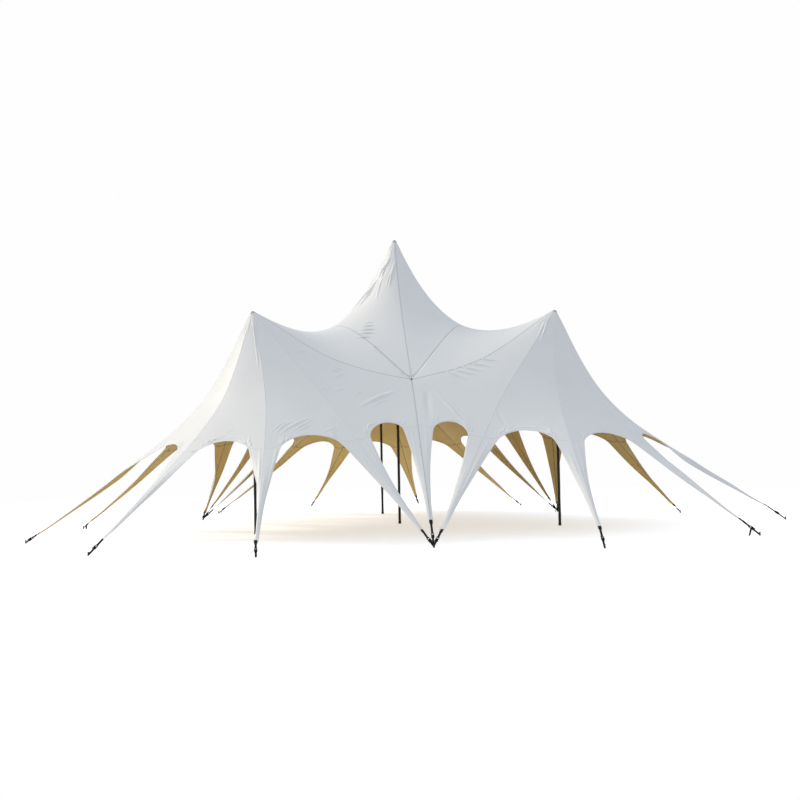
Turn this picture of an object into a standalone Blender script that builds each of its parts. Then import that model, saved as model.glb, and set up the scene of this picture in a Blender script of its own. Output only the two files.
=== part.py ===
"""Star canopy tent on four masts. Metres, +Z up, origin on the ground under the centre mast.

The front is -Y, where three legs share one stake. Bearings are in degrees, anticlockwise from +X.
The cloth is settled as a net of members with given force densities, held at peaks and leg tips.
"""

import math

import bmesh
import bpy
import numpy as np
from mathutils import Matrix, Vector

# Masts
MAST_RING = 3.80
CENTRE_PEAK = 6.61
OUTER_PEAK = 4.71
MAST_RADIUS = 0.030
HEAD_RADIUS = 0.0287
HEAD_LENGTH = 0.10
HEAD_ABOVE = 0.014
SHOE_RADIUS = 0.033
SHOE_HEIGHT = 0.06
PEAK_RING = 0.034

# Canopy cloth, drawn thicker than the real 1 mm so that it has a body
CLOTH = 0.010
SEAM_INSET = 0.0002
LEG_TIP = 0.10
TIP_LIFT = 0.02
# How steeply a leg and its strap come down: to a stake of its own, to a shared one, and below the
# centre cone
OUTER_SLOPE, SHARED_SLOPE, MIDDLE_SLOPE = 35.0, 44.0, 50.0
SLOPES = (SHARED_SLOPE, OUTER_SLOPE, OUTER_SLOPE, OUTER_SLOPE, OUTER_SLOPE, SHARED_SLOPE)

# Anchors
WEB_WIDTH = 0.040
WEB_THICK = 0.008
WEB_START = 0.0008
WEB_FOOT = 0.014
WEB_LAYER = 0.011
WEB_PAST = 0.005
BUCKLE = (0.110, 0.055, 0.034)
STAKE_RADIUS = 0.012
STAKE_HEIGHT = 0.060
STAKE_HEAD = (0.021, 0.009)

# Each outer mast: its bearing, the stakes of its four outer legs as distance from the mast and
# bearing from straight out, and the straps of its six legs, all anticlockwise
STARS = {
    "left": (210, ((5.07, -67.2), (4.59, -21.5), (4.67, 22.6), (4.92, 60.7)),
             (0.25, 0.30, 0.25, 0.42, 0.33, 0.33)),
    "right": (330, ((5.29, -67.2), (4.70, -23.6), (5.10, 27.9), (4.80, 66.5)),
              (0.33, 0.48, 0.42, 0.50, 0.28, 0.30)),
    "rear": (90, ((4.72, -64.4), (4.77, -19.4), (4.88, 20.5), (4.89, 64.6)),
             (0.30, 0.38, 0.35, 0.38, 0.42, 0.35)),
}
# Stakes shared by three legs, between the outer masts: distance, bearing, strap of the middle leg
SHARED = {"front": (6.12, 268.7, 0.50), "right": (5.19, 30.5, 0.40), "left": (5.61, 146.6, 0.40)}
# The shared stakes on either side of each outer mast, anticlockwise
SIDES = {"left": ("left", "front"), "right": ("front", "right"), "rear": ("right", "left")}
PANELS = {
    "left": ("left_back_panel", "left_side_panel", "left_front_panel"),
    "right": ("right_front_panel", "right_side_panel", "right_back_panel"),
    "rear": ("rear_right_panel", "rear_back_panel", "rear_left_panel"),
}
PANEL_OF_PETAL = (0, 0, 1, 2, 2)

# Net: strips across a petal, rows down it, the row that meets the low point, rows down a leg,
# strips in half a leg, and rows of the centre cone
STRIPS = 6
ROWS = 6
LOW_ROW = 4
LEG_ROWS = 5
LEG_STRIPS = 1
CONE_ROWS = 5
# Plan distances that only label the points of the net before it settles
ROOT_AT = 2.3
LOW_AT = 3.0
MIDDLE_ROOT_AT = 3.9

# Force densities of the cloth, down and round each peak, against 1 down a petal
PETAL_ROUND = 24.9
PETAL_DOWN_RISE = 1.41
PETAL_ROUND_RISE = 1.42
PETAL_ROUND_WAIST = -2.40
SADDLE_DOWN, SADDLE_ROUND, SADDLE_RISE = 4.70, 2.54, -0.49
CONE_DOWN, CONE_ROUND, CONE_RISE = 4.56, 3.21, -0.62
LEG_DOWN, LEG_ROUND = 0.38, 0.15
# Force densities of the cords sewn into ridges, hems and seams
RIDGE_CORD = 1.98
LEG_CORD = 6.8
LEG_HEM = 0.236
ARCH_HEM = 0.474
LOW_SEAM = 0.485
SADDLE_SEAM = 0.11
CONE_SEAM = 0.47
MIDDLE_SEAM = 6.8

WHITE_CLOTH = ((0.80, 0.80, 0.79), 0.62, 0.0)
BLACK_TUBE = ((0.012, 0.012, 0.013), 0.45, 0.6)
BLACK_WEB = ((0.015, 0.015, 0.016), 0.8, 0.0)


def clear_scene():
    for obj in list(bpy.data.objects):
        bpy.data.objects.remove(obj, do_unlink=True)


def new_collection(name):
    collection = bpy.data.collections.new(name)
    bpy.context.scene.collection.children.link(collection)
    return collection


def polar(distance, bearing):
    angle = math.radians(bearing)
    return distance * np.array([math.cos(angle), math.sin(angle)])


def unit(vector):
    return vector / np.linalg.norm(vector)


def steps(start, end, count):
    """count + 1 points from start to end."""
    return [start + (end - start) * i / count for i in range(count + 1)]


class Net:
    """Points named by their plan place, the members between them, and the cells of cloth."""

    def __init__(self):
        self.index = {}
        self.held = {}
        self.density = {}
        self.cells = []

    def point(self, plan, height=None):
        key = (round(float(plan[0]), 4), round(float(plan[1]), 4))
        number = self.index.setdefault(key, len(self.index))
        if height is not None:
            self.held[number] = (plan[0], plan[1], height)
        return number

    def member(self, a, b, density):
        key = (min(a, b), max(a, b))
        self.density[key] = self.density.get(key, 0.0) + density

    def cord(self, points, density):
        for a, b in zip(points, points[1:]):
            self.member(a, b, density * (len(points) - 1))

    def settle(self):
        """The places of all points once the members' pulls cancel at each point that is free."""
        size = len(self.index)
        pull = np.zeros((size, size))
        for (a, b), density in self.density.items():
            pull[a, a] += density
            pull[b, b] += density
            pull[a, b] -= density
            pull[b, a] -= density
        held = sorted(self.held)
        free = [i for i in range(size) if i not in self.held]
        places = np.zeros((size, 3))
        places[held] = [self.held[i] for i in held]
        load = -pull[np.ix_(free, held)] @ places[held]
        places[free] = np.linalg.solve(pull[np.ix_(free, free)], load)
        return places


def ring_point(centre, first, last, share):
    """A point on the ring round a peak, a share of the way anticlockwise from first to last."""
    start = math.atan2(*(first - centre)[::-1])
    sweep = (math.atan2(*(last - centre)[::-1]) - start) % (2 * math.pi)
    return centre + polar(np.linalg.norm(first - centre), math.degrees(start + sweep * share))


def add_rows(net, grid, name, cell_names):
    """Cells of cloth wherever four neighbouring points of a grid exist."""
    for row, strip in list(grid):
        corners = [(row, strip), (row + 1, strip), (row + 1, strip + 1), (row, strip + 1)]
        if all(corner in grid for corner in corners):
            net.cells.append((cell_names.get((row >= ROWS, strip < STRIPS / 2), name),
                              [grid[corner] for corner in corners]))


def petal(net, name, mast, rays, tip_heights, legs):
    """Cloth between two rays from an outer peak, with half a leg down each side."""
    grid = {}
    for row in range(ROWS + 1):
        for strip in range(STRIPS + 1):
            share = strip / STRIPS
            plan = rays[0][row] + (rays[1][row] - rays[0][row]) * share
            if row == 0:
                plan = ring_point(mast, rays[0][0], rays[1][0], share)
            grid[row, strip] = net.point(plan, OUTER_PEAK if row == 0 else None)
    roots = [rays[0][ROWS] + (rays[1][ROWS] - rays[0][ROWS]) * s / STRIPS for s in range(STRIPS + 1)]
    for side, turn in ((0, 1), (1, -1)):
        ridge = rays[side]
        ahead = unit(ridge[-1] - ridge[ROWS])
        across = np.array([-ahead[1], ahead[0]]) * turn
        for row in range(1, LEG_ROWS + 1):
            down = row / LEG_ROWS
            for half in range(LEG_STRIPS + 1):
                strip = half if side == 0 else STRIPS - half
                root_offset = roots[strip] - ridge[ROWS]
                tip_offset = across * LEG_TIP / 2 * half / LEG_STRIPS
                plan = ridge[ROWS + row] + root_offset * (1 - down) + tip_offset * down
                height = tip_heights[side] if row == LEG_ROWS else None
                grid[ROWS + row, strip] = net.point(plan, height)
    add_rows(net, grid, name, {(True, True): legs[0], (True, False): legs[1]})
    petal_members(net, grid)
    return grid


def petal_members(net, grid):
    for (row, strip), here in grid.items():
        below = grid.get((row + 1, strip))
        if below is not None:
            weight = 0.5 if strip in (0, STRIPS) else 1.0
            rise = math.exp(PETAL_DOWN_RISE * ((row + 0.5) / ROWS - 0.5))
            density = LEG_DOWN * LEG_ROWS if row >= ROWS else ROWS * rise
            net.member(here, below, density * weight / STRIPS)
        beside = grid.get((row, strip + 1))
        if beside is not None and row > 0:
            free_edge = (row + 1, strip) not in grid or (row + 1, strip + 1) not in grid
            weight = 0.5 if free_edge else 1.0
            place = row / ROWS - 0.5
            shape = math.exp(PETAL_ROUND_RISE * place + PETAL_ROUND_WAIST * 4 * place ** 2)
            density = LEG_ROUND / LEG_ROWS if row > ROWS else PETAL_ROUND * shape / ROWS
            net.member(here, beside, density * weight * STRIPS)


def petal_hems(net, grid):
    left = [grid[ROWS + row, LEG_STRIPS] for row in range(LEG_ROWS, -1, -1)]
    right = [grid[ROWS + row, STRIPS - LEG_STRIPS] for row in range(LEG_ROWS, -1, -1)]
    net.cord(left, LEG_HEM)
    net.cord(right, LEG_HEM)
    net.cord([grid[ROWS, strip] for strip in range(LEG_STRIPS, STRIPS - LEG_STRIPS + 1)], ARCH_HEM)


def arm_cords(net, grid, strip):
    net.cord([grid[row, strip] for row in range(ROWS + 1)], RIDGE_CORD)
    net.cord([grid[ROWS + row, strip] for row in range(LEG_ROWS + 1)], LEG_CORD)


def fan(net, name, centre, height, first, last, rows, densities):
    """Cloth from a peak down to the straight saddle seam between two low points."""
    down, across, rise = densities
    grid = {}
    for row in range(rows + 1):
        for strip in range(STRIPS + 1):
            share = strip / STRIPS
            top = ring_point(centre, centre + unit(first - centre) * PEAK_RING,
                             centre + unit(last - centre) * PEAK_RING, share)
            plan = top + (first + (last - first) * share - top) * row / rows
            grid[row, strip] = net.point(plan, height if row == 0 else None)
    add_rows(net, grid, name, {})
    for (row, strip), here in grid.items():
        below = grid.get((row + 1, strip))
        beside = grid.get((row, strip + 1))
        if below is not None:
            weight = 0.5 if strip in (0, STRIPS) else 1.0
            net.member(here, below, down * rows / STRIPS * weight)
        if beside is not None and row > 0:
            weight = 0.5 if row == rows else 1.0
            shape = math.exp(rise * (row / rows - 0.5))
            net.member(here, beside, across * STRIPS / rows * weight * shape)
    return grid


def leg_tip(origin, stake, strap, slope):
    """Plan place and height of a leg's tip, a strap's length up the slope from its stake."""
    back = unit(stake - origin) * strap * math.cos(math.radians(slope))
    return stake - back, strap * math.sin(math.radians(slope)) + TIP_LIFT


def arm_ray(mast, stake, tip):
    """Plan points from the ring at a peak to a leg's root, and on to its tip."""
    ahead = unit(stake - mast)
    root = mast + ahead * ROOT_AT
    return steps(mast + ahead * PEAK_RING, root, ROWS) + steps(root, tip, LEG_ROWS)[1:]


def middle_ray(mast, low, stake, tip):
    """Plan points from a peak to the low point, and from there down the middle leg."""
    root = unit(stake) * MIDDLE_ROOT_AT
    seam = steps(mast + unit(low - mast) * PEAK_RING, low, LOW_ROW)
    return seam + steps(low, root, ROWS - LOW_ROW)[1:] + steps(root, tip, LEG_ROWS)[1:]


def shared_stakes():
    return {name: polar(distance, bearing) for name, (distance, bearing, strap) in SHARED.items()}


def low_points():
    return {"front": polar(LOW_AT, 270), "right": polar(LOW_AT, 30), "left": polar(LOW_AT, 150)}


def star_net(net, star, stakes, lows):
    """The canopy round one outer mast: five petals, then the inner cloth to the low points."""
    bearing, outer, straps = STARS[star]
    mast = polar(MAST_RING, bearing)
    before, after = SIDES[star]
    feet = [mast + polar(distance, bearing + angle) for distance, angle in outer]
    feet = [stakes[before]] + feet + [stakes[after]]
    tips = [leg_tip(mast, foot, strap, slope) for foot, strap, slope in zip(feet, straps, SLOPES)]
    arms = [arm_ray(mast, foot, tip) for foot, (tip, _) in zip(feet, tips)]
    heights = [height for _, height in tips]
    legs = [f"{star}_leg_{number}" for number in range(1, 7)]
    for q in range(5):
        panel = PANELS[star][PANEL_OF_PETAL[q]]
        grid = petal(net, panel, mast, arms[q:q + 2], heights[q:q + 2], legs[q:q + 2])
        petal_hems(net, grid)
        arm_cords(net, grid, 0)
    arm_cords(net, grid, STRIPS)
    inner = f"{star}_inner_panel"
    for side, last in ((before, False), (after, True)):
        tip, height = leg_tip(np.zeros(2), stakes[side], SHARED[side][2], MIDDLE_SLOPE)
        middle = middle_ray(mast, lows[side], stakes[side], tip)
        rays = (arms[5], middle) if last else (middle, arms[0])
        ends = (heights[5], height) if last else (height, heights[0])
        names = (legs[5], f"middle_leg_{side}") if last else (f"middle_leg_{side}", legs[0])
        grid = petal(net, inner, mast, rays, ends, names)
        petal_hems(net, grid)
        edge = STRIPS if last else 0
        net.cord([grid[row, edge] for row in range(LOW_ROW + 1)], LOW_SEAM)
        if last:
            net.cord([grid[row, edge] for row in range(LOW_ROW, ROWS + 1)], MIDDLE_SEAM)
            net.cord([grid[ROWS + row, edge] for row in range(LEG_ROWS + 1)], MIDDLE_SEAM)
    densities = (SADDLE_DOWN, SADDLE_ROUND, SADDLE_RISE)
    grid = fan(net, inner, mast, OUTER_PEAK, lows[after], lows[before], LOW_ROW, densities)
    net.cord([grid[LOW_ROW, strip] for strip in range(STRIPS + 1)], SADDLE_SEAM)


def centre_net(net, lows):
    densities = (CONE_DOWN, CONE_ROUND, CONE_RISE)
    for before, after in SIDES.values():
        grid = fan(net, "centre_cone_panel", np.zeros(2), CENTRE_PEAK, lows[before], lows[after],
                   CONE_ROWS, densities)
        net.cord([grid[row, 0] for row in range(CONE_ROWS + 1)], CONE_SEAM)


def facing_up(corners, places):
    """The four corners in the order that faces the sky."""
    plan = places[corners][:, :2]
    nexts = np.roll(plan, -1, axis=0)
    area = np.sum(plan[:, 0] * nexts[:, 1] - plan[:, 1] * nexts[:, 0])
    return corners if area > 0 else corners[::-1]


def cloth_normals(cells, places):
    """The whole canopy's normals at its points, so that neighbouring panels share their edges."""
    normals = np.zeros_like(places)
    for _, corners in cells:
        a, b, c, d = places[corners]
        normals[corners] += np.cross(c - a, d - b)
    return normals / np.linalg.norm(normals, axis=1, keepdims=True)


def border_of(cells):
    edges = {(a, b): corners for corners in cells for a, b in zip(corners, corners[1:] + corners[:1])}
    return {edge: corners for edge, corners in edges.items() if edge[::-1] not in edges}


def inset_points(border, places):
    """Points on the border, moved a hair into the panel."""
    inward = {}
    for (a, b), corners in border.items():
        along = unit(places[b] - places[a])
        across = places[corners].mean(axis=0) - places[a]
        across = unit(across - along * across.dot(along))
        for point in (a, b):
            inward[point] = inward.get(point, 0) + across
    return {point: places[point] + unit(push) * SEAM_INSET for point, push in inward.items()}


def cloth_panel(name, cells, places, normals, collection):
    """A closed slab of cloth on one group of cells."""
    border = border_of(cells)
    moved = inset_points(border, places)
    mesh = bmesh.new()
    top, under = {}, {}
    for point in sorted({p for corners in cells for p in corners}):
        middle = moved.get(point, places[point])
        top[point] = mesh.verts.new(middle + normals[point] * CLOTH / 2)
        under[point] = mesh.verts.new(middle - normals[point] * CLOTH / 2)
    for a, b, c, d in cells:
        for tri in ((a, b, c), (a, c, d)):
            mesh.faces.new([top[p] for p in tri])
            mesh.faces.new([under[p] for p in reversed(tri)])
    for a, b in border:
        if a < b:
            walls = ((top[b], top[a], under[b]), (top[a], under[a], under[b]))
        else:
            walls = ((top[b], top[a], under[a]), (top[b], under[a], under[b]))
        for wall in walls:
            mesh.faces.new(wall)
    return finished(name, mesh, collection, WHITE_CLOTH)


def finished(name, mesh, collection, finish):
    """An object of the mesh, with a material of its own."""
    data = bpy.data.meshes.new(name)
    mesh.to_mesh(data)
    mesh.free()
    obj = bpy.data.objects.new(name, data)
    collection.objects.link(obj)
    colour, roughness, metallic = finish
    material = bpy.data.materials.new(name)
    material.use_nodes = True
    shader = material.node_tree.nodes["Principled BSDF"]
    shader.inputs["Base Color"].default_value = (*colour, 1.0)
    shader.inputs["Roughness"].default_value = roughness
    shader.inputs["Metallic"].default_value = metallic
    data.materials.append(material)
    return obj


def mast_profile(peak):
    """Radius and height of the outside of a mast, from its domed head down to its shoe."""
    dome = [(HEAD_RADIUS * math.sin(a), peak + HEAD_ABOVE * math.cos(a))
            for a in np.linspace(0, math.pi / 2, 5)]
    return dome + [
        (HEAD_RADIUS, peak - HEAD_LENGTH),
        (MAST_RADIUS, peak - HEAD_LENGTH - 0.004),
        (MAST_RADIUS, SHOE_HEIGHT + 0.003),
        (SHOE_RADIUS, SHOE_HEIGHT),
        (SHOE_RADIUS, 0.0),
        (0.0, 0.0),
    ]


def make_mast(name, place, peak, collection):
    mesh = bmesh.new()
    verts = [mesh.verts.new((x, 0, z)) for x, z in mast_profile(peak)]
    for a, b in zip(verts, verts[1:]):
        mesh.edges.new((a, b))
    obj = finished(name, mesh, collection, BLACK_TUBE)
    obj.location = (*place, 0)
    turn = obj.modifiers.new("turned", "SCREW")
    turn.steps = turn.render_steps = 20
    turn.use_merge_vertices = True
    turn.merge_threshold = 0.0001
    turn.use_smooth_shade = True


def box_along(start, end, width, thick):
    """A box from start to end, with its width level."""
    mesh = bmesh.new()
    ahead = (end - start).normalized()
    across = Vector((-ahead.y, ahead.x, 0)).normalized()
    up = ahead.cross(across)
    place = Matrix((ahead, across, up)).transposed().to_4x4()
    place.translation = (start + end) / 2
    size = Matrix.Diagonal(((end - start).length, width, thick, 1))
    bmesh.ops.create_cube(mesh, size=1, matrix=place @ size)
    return mesh


def cylinder(place, radius, low, high, segments=16):
    mesh = bmesh.new()
    middle = Matrix.Translation((*place, (low + high) / 2))
    bmesh.ops.create_cone(mesh, cap_ends=True, segments=segments, radius1=radius, radius2=radius,
                          depth=high - low, matrix=middle)
    return mesh


def strap_pieces(origin, stake, strap, slope, layer):
    """Webbing from a leg's tip round the stake, and the ratchet buckle half way down it."""
    plan, height = leg_tip(origin, stake, strap, slope)
    tip = Vector((*plan, height))
    past = stake + unit(stake - origin) * WEB_PAST
    foot = Vector((*past, WEB_FOOT + WEB_LAYER * layer))
    ahead = (foot - tip).normalized()
    middle = (tip + foot) / 2
    half = ahead * BUCKLE[0] / 2
    return [
        box_along(tip + ahead * WEB_START, foot, WEB_WIDTH, WEB_THICK),
        box_along(middle - half, middle + half, BUCKLE[1], BUCKLE[2]),
    ]


def make_anchor(name, stake, straps, collection, helpers):
    """A ground stake with the straps that it holds, joined into one body."""
    anchor = finished(name, cylinder(stake, STAKE_RADIUS, 0, STAKE_HEIGHT), collection, BLACK_WEB)
    head_radius, head_height = STAKE_HEAD
    pieces = [cylinder(stake, head_radius, STAKE_HEIGHT - 0.001, STAKE_HEIGHT + head_height)]
    for layer, (origin, strap, slope) in enumerate(straps):
        pieces += strap_pieces(origin, stake, strap, slope, layer)
    for number, mesh in enumerate(pieces):
        piece = finished(f"{name}_piece_{number}", mesh, helpers, BLACK_WEB)
        piece.hide_render = True
        piece.display_type = "WIRE"
        join = anchor.modifiers.new(f"join_{number}", "BOOLEAN")
        join.operation = "UNION"
        join.object = piece


def make_canopy(collection):
    net = Net()
    stakes, lows = shared_stakes(), low_points()
    for star in STARS:
        star_net(net, star, stakes, lows)
    centre_net(net, lows)
    places = net.settle()
    cells = [(name, facing_up(corners, places)) for name, corners in net.cells]
    normals = cloth_normals(cells, places)
    groups = {}
    for name, corners in cells:
        groups.setdefault(name, []).append(corners)
    for name, group in groups.items():
        cloth_panel(name, group, places, normals, collection)


def make_masts(collection):
    make_mast("centre_mast", (0, 0), CENTRE_PEAK, collection)
    for star, (bearing, _, _) in STARS.items():
        make_mast(f"{star}_mast", polar(MAST_RING, bearing), OUTER_PEAK, collection)


def make_anchors(collection, helpers):
    stakes = shared_stakes()
    shared = {name: [(np.zeros(2), strap, MIDDLE_SLOPE)] for name, (_, _, strap) in SHARED.items()}
    for star, (bearing, outer, straps) in STARS.items():
        mast = polar(MAST_RING, bearing)
        before, after = SIDES[star]
        shared[before].append((mast, straps[0], SHARED_SLOPE))
        shared[after].append((mast, straps[5], SHARED_SLOPE))
        for number, (distance, angle) in enumerate(outer, start=2):
            stake = mast + polar(distance, bearing + angle)
            strap = (mast, straps[number - 1], OUTER_SLOPE)
            make_anchor(f"{star}_anchor_{number}", stake, [strap], collection, helpers)
    for name, stake in stakes.items():
        make_anchor(f"shared_anchor_{name}", stake, shared[name], collection, helpers)


def main():
    clear_scene()
    tent = new_collection("star_canopy_tent")
    helpers = new_collection("joined_pieces")
    make_canopy(tent)
    make_masts(tent)
    make_anchors(tent, helpers)


main()
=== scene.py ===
"""Looks of the star canopy tent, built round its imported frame. Metres, +Z up, front towards -Y."""

import math
import random

import bmesh
import bpy
import numpy as np
from mathutils import Matrix, Vector
from mathutils.bvhtree import BVHTree


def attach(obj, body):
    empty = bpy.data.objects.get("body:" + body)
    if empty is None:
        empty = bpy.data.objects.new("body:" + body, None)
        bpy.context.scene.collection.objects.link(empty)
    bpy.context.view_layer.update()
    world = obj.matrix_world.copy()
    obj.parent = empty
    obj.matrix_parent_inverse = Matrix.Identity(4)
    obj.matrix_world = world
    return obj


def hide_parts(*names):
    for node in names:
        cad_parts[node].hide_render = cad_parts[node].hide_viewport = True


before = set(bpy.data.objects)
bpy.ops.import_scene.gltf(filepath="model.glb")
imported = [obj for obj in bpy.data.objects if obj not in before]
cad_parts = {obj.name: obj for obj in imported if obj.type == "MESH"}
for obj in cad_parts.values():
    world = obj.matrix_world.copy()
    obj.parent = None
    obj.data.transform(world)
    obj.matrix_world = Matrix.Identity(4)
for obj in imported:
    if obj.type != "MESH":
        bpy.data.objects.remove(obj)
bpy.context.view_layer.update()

# The view: where the camera stands, which way it looks, and its lens on a 36 mm sensor
VIEW_FROM = (-2.991, -24.923, 1.8)
VIEW_HEADING, VIEW_PITCH, VIEW_ROLL = 6.98, 2.442, 1.112
VIEW_LENS = 48.49
SENSOR = 36
PHOTO_SIZE = 800

# Masts and peaks
MAST_RING = 3.80
CENTRE_PEAK = 6.61
OUTER_PEAK = 4.71
PEAK_RING = 0.034

# Stakes, legs and straps: each outer mast's bearing, the stakes of its four outer legs as distance
# from the mast and bearing from straight out, and the straps of its six legs, all anticlockwise
STARS = {
    "left": (210, ((5.07, -67.2), (4.59, -21.5), (4.67, 22.6), (4.92, 60.7)),
             (0.25, 0.30, 0.25, 0.42, 0.33, 0.33)),
    "right": (330, ((5.29, -67.2), (4.70, -23.6), (5.10, 27.9), (4.80, 66.5)),
              (0.33, 0.48, 0.42, 0.50, 0.28, 0.30)),
    "rear": (90, ((4.72, -64.4), (4.77, -19.4), (4.88, 20.5), (4.89, 64.6)),
             (0.30, 0.38, 0.35, 0.38, 0.42, 0.35)),
}
# Stakes shared by three legs: distance, bearing, strap of the middle leg
SHARED = {"front": (6.12, 268.7, 0.50), "right": (5.19, 30.5, 0.40), "left": (5.61, 146.6, 0.40)}
SIDES = {"left": ("left", "front"), "right": ("front", "right"), "rear": ("right", "left")}
OUTER_SLOPE, SHARED_SLOPE, MIDDLE_SLOPE = 35.0, 44.0, 50.0
SLOPES = (SHARED_SLOPE, OUTER_SLOPE, OUTER_SLOPE, OUTER_SLOPE, OUTER_SLOPE, SHARED_SLOPE)
LEG_TIP = 0.075
TIP_LIFT = 0.02

# Net of the canopy before it is subdivided: strips across a petal, rows down it, the row that meets
# the low point, rows down a leg, strips in half a leg, and rows of the centre cone
STRIPS = 36
ROWS = 48
LOW_ROW = 32
LEG_ROWS = 30
LEG_STRIPS = 6
CONE_ROWS = 64
# Plan distances that only label the points of the net before it settles
ROOT_AT = 2.3
LOW_AT = 3.0
MIDDLE_ROOT_AT = 3.9
# Pull of the cloth, down and round each peak, and of the cords in ridges, hems and seams
PETAL_ROUND = 24.9
PETAL_DOWN_RISE = 1.41
PETAL_ROUND_RISE = 1.42
PETAL_ROUND_WAIST = -2.40
SADDLE = (4.70, 2.54, -0.49)
CONE = (4.56, 3.21, -0.62)
LEG_DOWN, LEG_ROUND = 0.38, 0.15
RIDGE_CORD = 1.98
LEG_CORD = 6.8
LEG_HEM = 0.236
ARCH_HEM = 0.474
LOW_SEAM = 0.485
SADDLE_SEAM = 0.11
CONE_SEAM = 0.47
MIDDLE_SEAM = 6.8
BALANCED = 1e-7

# Cloth as sewn: its thickness, the bands of seams and hems, and how proud they stand
CLOTH = 0.003
SEAM_WIDTH = 0.026
JOINT_WIDTH = 0.020
SEAM_RISE = 0.0022
TAPE_WIDTH = 0.020
HEM_WIDTH = 0.034
HEM_RISE = 0.0018
BAND_STEP = 0.05
STAR_TRIANGLES = 92000
CONE_TRIANGLES = 64000
# How far the edges of a leg turn down, the rows over which that starts and ends, and the legs
# that are pitched with a turn of their own
LEG_CURL = 42
CURL_ROWS = 18
TURN_ROWS = 9
TIP_ROWS = 4
TURNED_LEGS = {"left_leg_3": 16, "right_leg_4": 22}
# Legs curled more, on the clockwise and the anticlockwise side of their ridge
CURLED_LEGS = {
    "left_leg_1": (88, 118), "left_leg_5": (136, 42), "right_leg_5": (48, 104),
    "rear_leg_4": (80, 80), "rear_leg_5": (80, 80), "rear_leg_6": (80, 80),
}

# Folds that show in the photograph, from pixel to pixel: half width, height, both in metres
SEEN_FOLDS = (
    (((355, 337.5), (372, 336.5)), 0.027, 0.026),
    (((357, 333.8), (375, 332.3)), 0.027, 0.029),
    (((359, 330.2), (376, 328.6)), 0.026, 0.028),
    (((361, 326.6), (375, 324.8)), 0.025, 0.023),
    (((363, 323.2), (374, 321.4)), 0.024, 0.017),
    (((368, 346.5), (379, 345.5)), 0.028, 0.022),
    (((370, 349.5), (378, 348.5)), 0.024, 0.014),
    (((381, 357.5), (387, 358)), 0.028, 0.014),
    (((444, 370.5), (455, 375), (470, 379)), 0.030, 0.026),
    (((449, 366.5), (460, 371), (480, 375)), 0.032, 0.030),
    (((455, 363.5), (468, 368), (484, 371)), 0.030, 0.028),
    (((463, 360.5), (476, 364), (494, 366.5)), 0.028, 0.026),
    (((476, 357.5), (486, 359.5), (498, 360.5)), 0.026, 0.022),
    (((480, 352.5), (488, 353.5), (496, 353.5)), 0.024, 0.009),
    (((396, 391), (380, 396), (358, 407)), 0.050, 0.018),
    (((394, 397), (382, 401), (366, 409)), 0.036, 0.007),
    (((426.5, 390), (427.5, 403), (430, 421)), 0.085, -0.014),
    (((433, 389), (449, 406), (466, 425)), 0.046, 0.015),
    (((440, 391), (456, 408), (471, 423)), 0.030, 0.010),
    (((497, 408), (501, 418), (507, 427)), 0.060, -0.009),
    (((270, 433), (279, 425), (287, 421)), 0.019, 0.009),
    (((274, 434), (283, 426), (294, 420)), 0.020, 0.010),
    (((279, 435), (290, 426), (304, 419)), 0.021, 0.010),
    (((283, 431), (297, 423), (312, 416)), 0.021, 0.012),
    (((289, 434), (302, 425), (315, 418)), 0.021, 0.010),
    (((294, 433), (304, 428), (314, 421)), 0.019, 0.007),
    (((191, 443), (196, 439.5), (202, 436)), 0.021, 0.009),
    (((203, 443), (214, 440), (227, 436.5)), 0.020, 0.010),
    (((209, 440), (219, 437), (229, 434)), 0.019, 0.007),
    (((227, 432), (236, 429)), 0.021, 0.009),
    (((323, 432), (330, 429.5), (338, 426)), 0.020, 0.010),
    (((326, 434.5), (333, 432), (340, 429)), 0.019, 0.007),
    (((296, 352.5), (306, 349.5)), 0.024, 0.016),
    (((330, 371), (342, 367)), 0.026, 0.018),
    (((331, 377.5), (346, 372.5)), 0.024, 0.014),
    (((318, 389), (327, 386.5)), 0.024, 0.010),
    (((333, 391), (345, 387)), 0.026, 0.009),
    (((355, 395), (362, 390)), 0.024, 0.009),
    (((180, 383.5), (196, 378)), 0.024, 0.009),
    (((540, 342), (544, 331), (548, 318)), 0.030, 0.027),
    (((537, 338), (542, 327), (547, 317)), 0.024, 0.014),
    (((252, 317), (254.5, 335), (258.5, 368)), 0.020, 0.020),
    (((395.5, 260), (391, 276), (389, 288)), 0.026, 0.022),
    (((394, 263), (389, 277), (386, 288)), 0.020, 0.016),
    (((391, 256), (385, 268), (381, 279)), 0.030, 0.026),
    (((389, 259), (382, 270), (378, 280)), 0.024, 0.019),
    (((383, 276), (379, 288), (376, 300)), 0.032, 0.016),
    (((379, 277), (370, 291), (360, 305)), 0.036, 0.029),
    (((377, 283), (368, 296), (354, 312)), 0.032, 0.023),
    (((373, 285), (362, 299), (347, 316)), 0.034, 0.029),
)

# Slack in the cloth: waves, their lengths and height, and how far a fold reaches past its width
SLACK_WAVES = 14
SLACK_LENGTHS = (0.7, 2.2)
SLACK_RISE = 0.004
FOLD_REACH = 2.6
FOLD_SEED = 11
# Size of a cell of cloth where a leg begins, down a row and across a strip
ROOT_ROW = 0.081
ROOT_STRIP = 0.067
CONE_ROW = 0.128
# Rows above a leg's root where its cross seams meet on the ridge, and below the centre cone
CROSS_RISE = 4
MIDDLE_CROSS_RISE = 12
PATCH_SIDES = 64
PATCH_RINGS = ((0.0355, 0.0), (0.0365, 0.004), (0.044, 0.0035), (0.052, 0.003), (0.056, 0.001))
# Gathers at a peak: how they widen with distance, and how wide at most
GATHER_SPREAD = 0.055
GATHER_WIDEST = 0.045
WINDWARD_STRIPS = (4, 27)
PEAK_TOPS = {"centre": CENTRE_PEAK, "left": OUTER_PEAK, "right": OUTER_PEAK, "rear": OUTER_PEAK}

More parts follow.
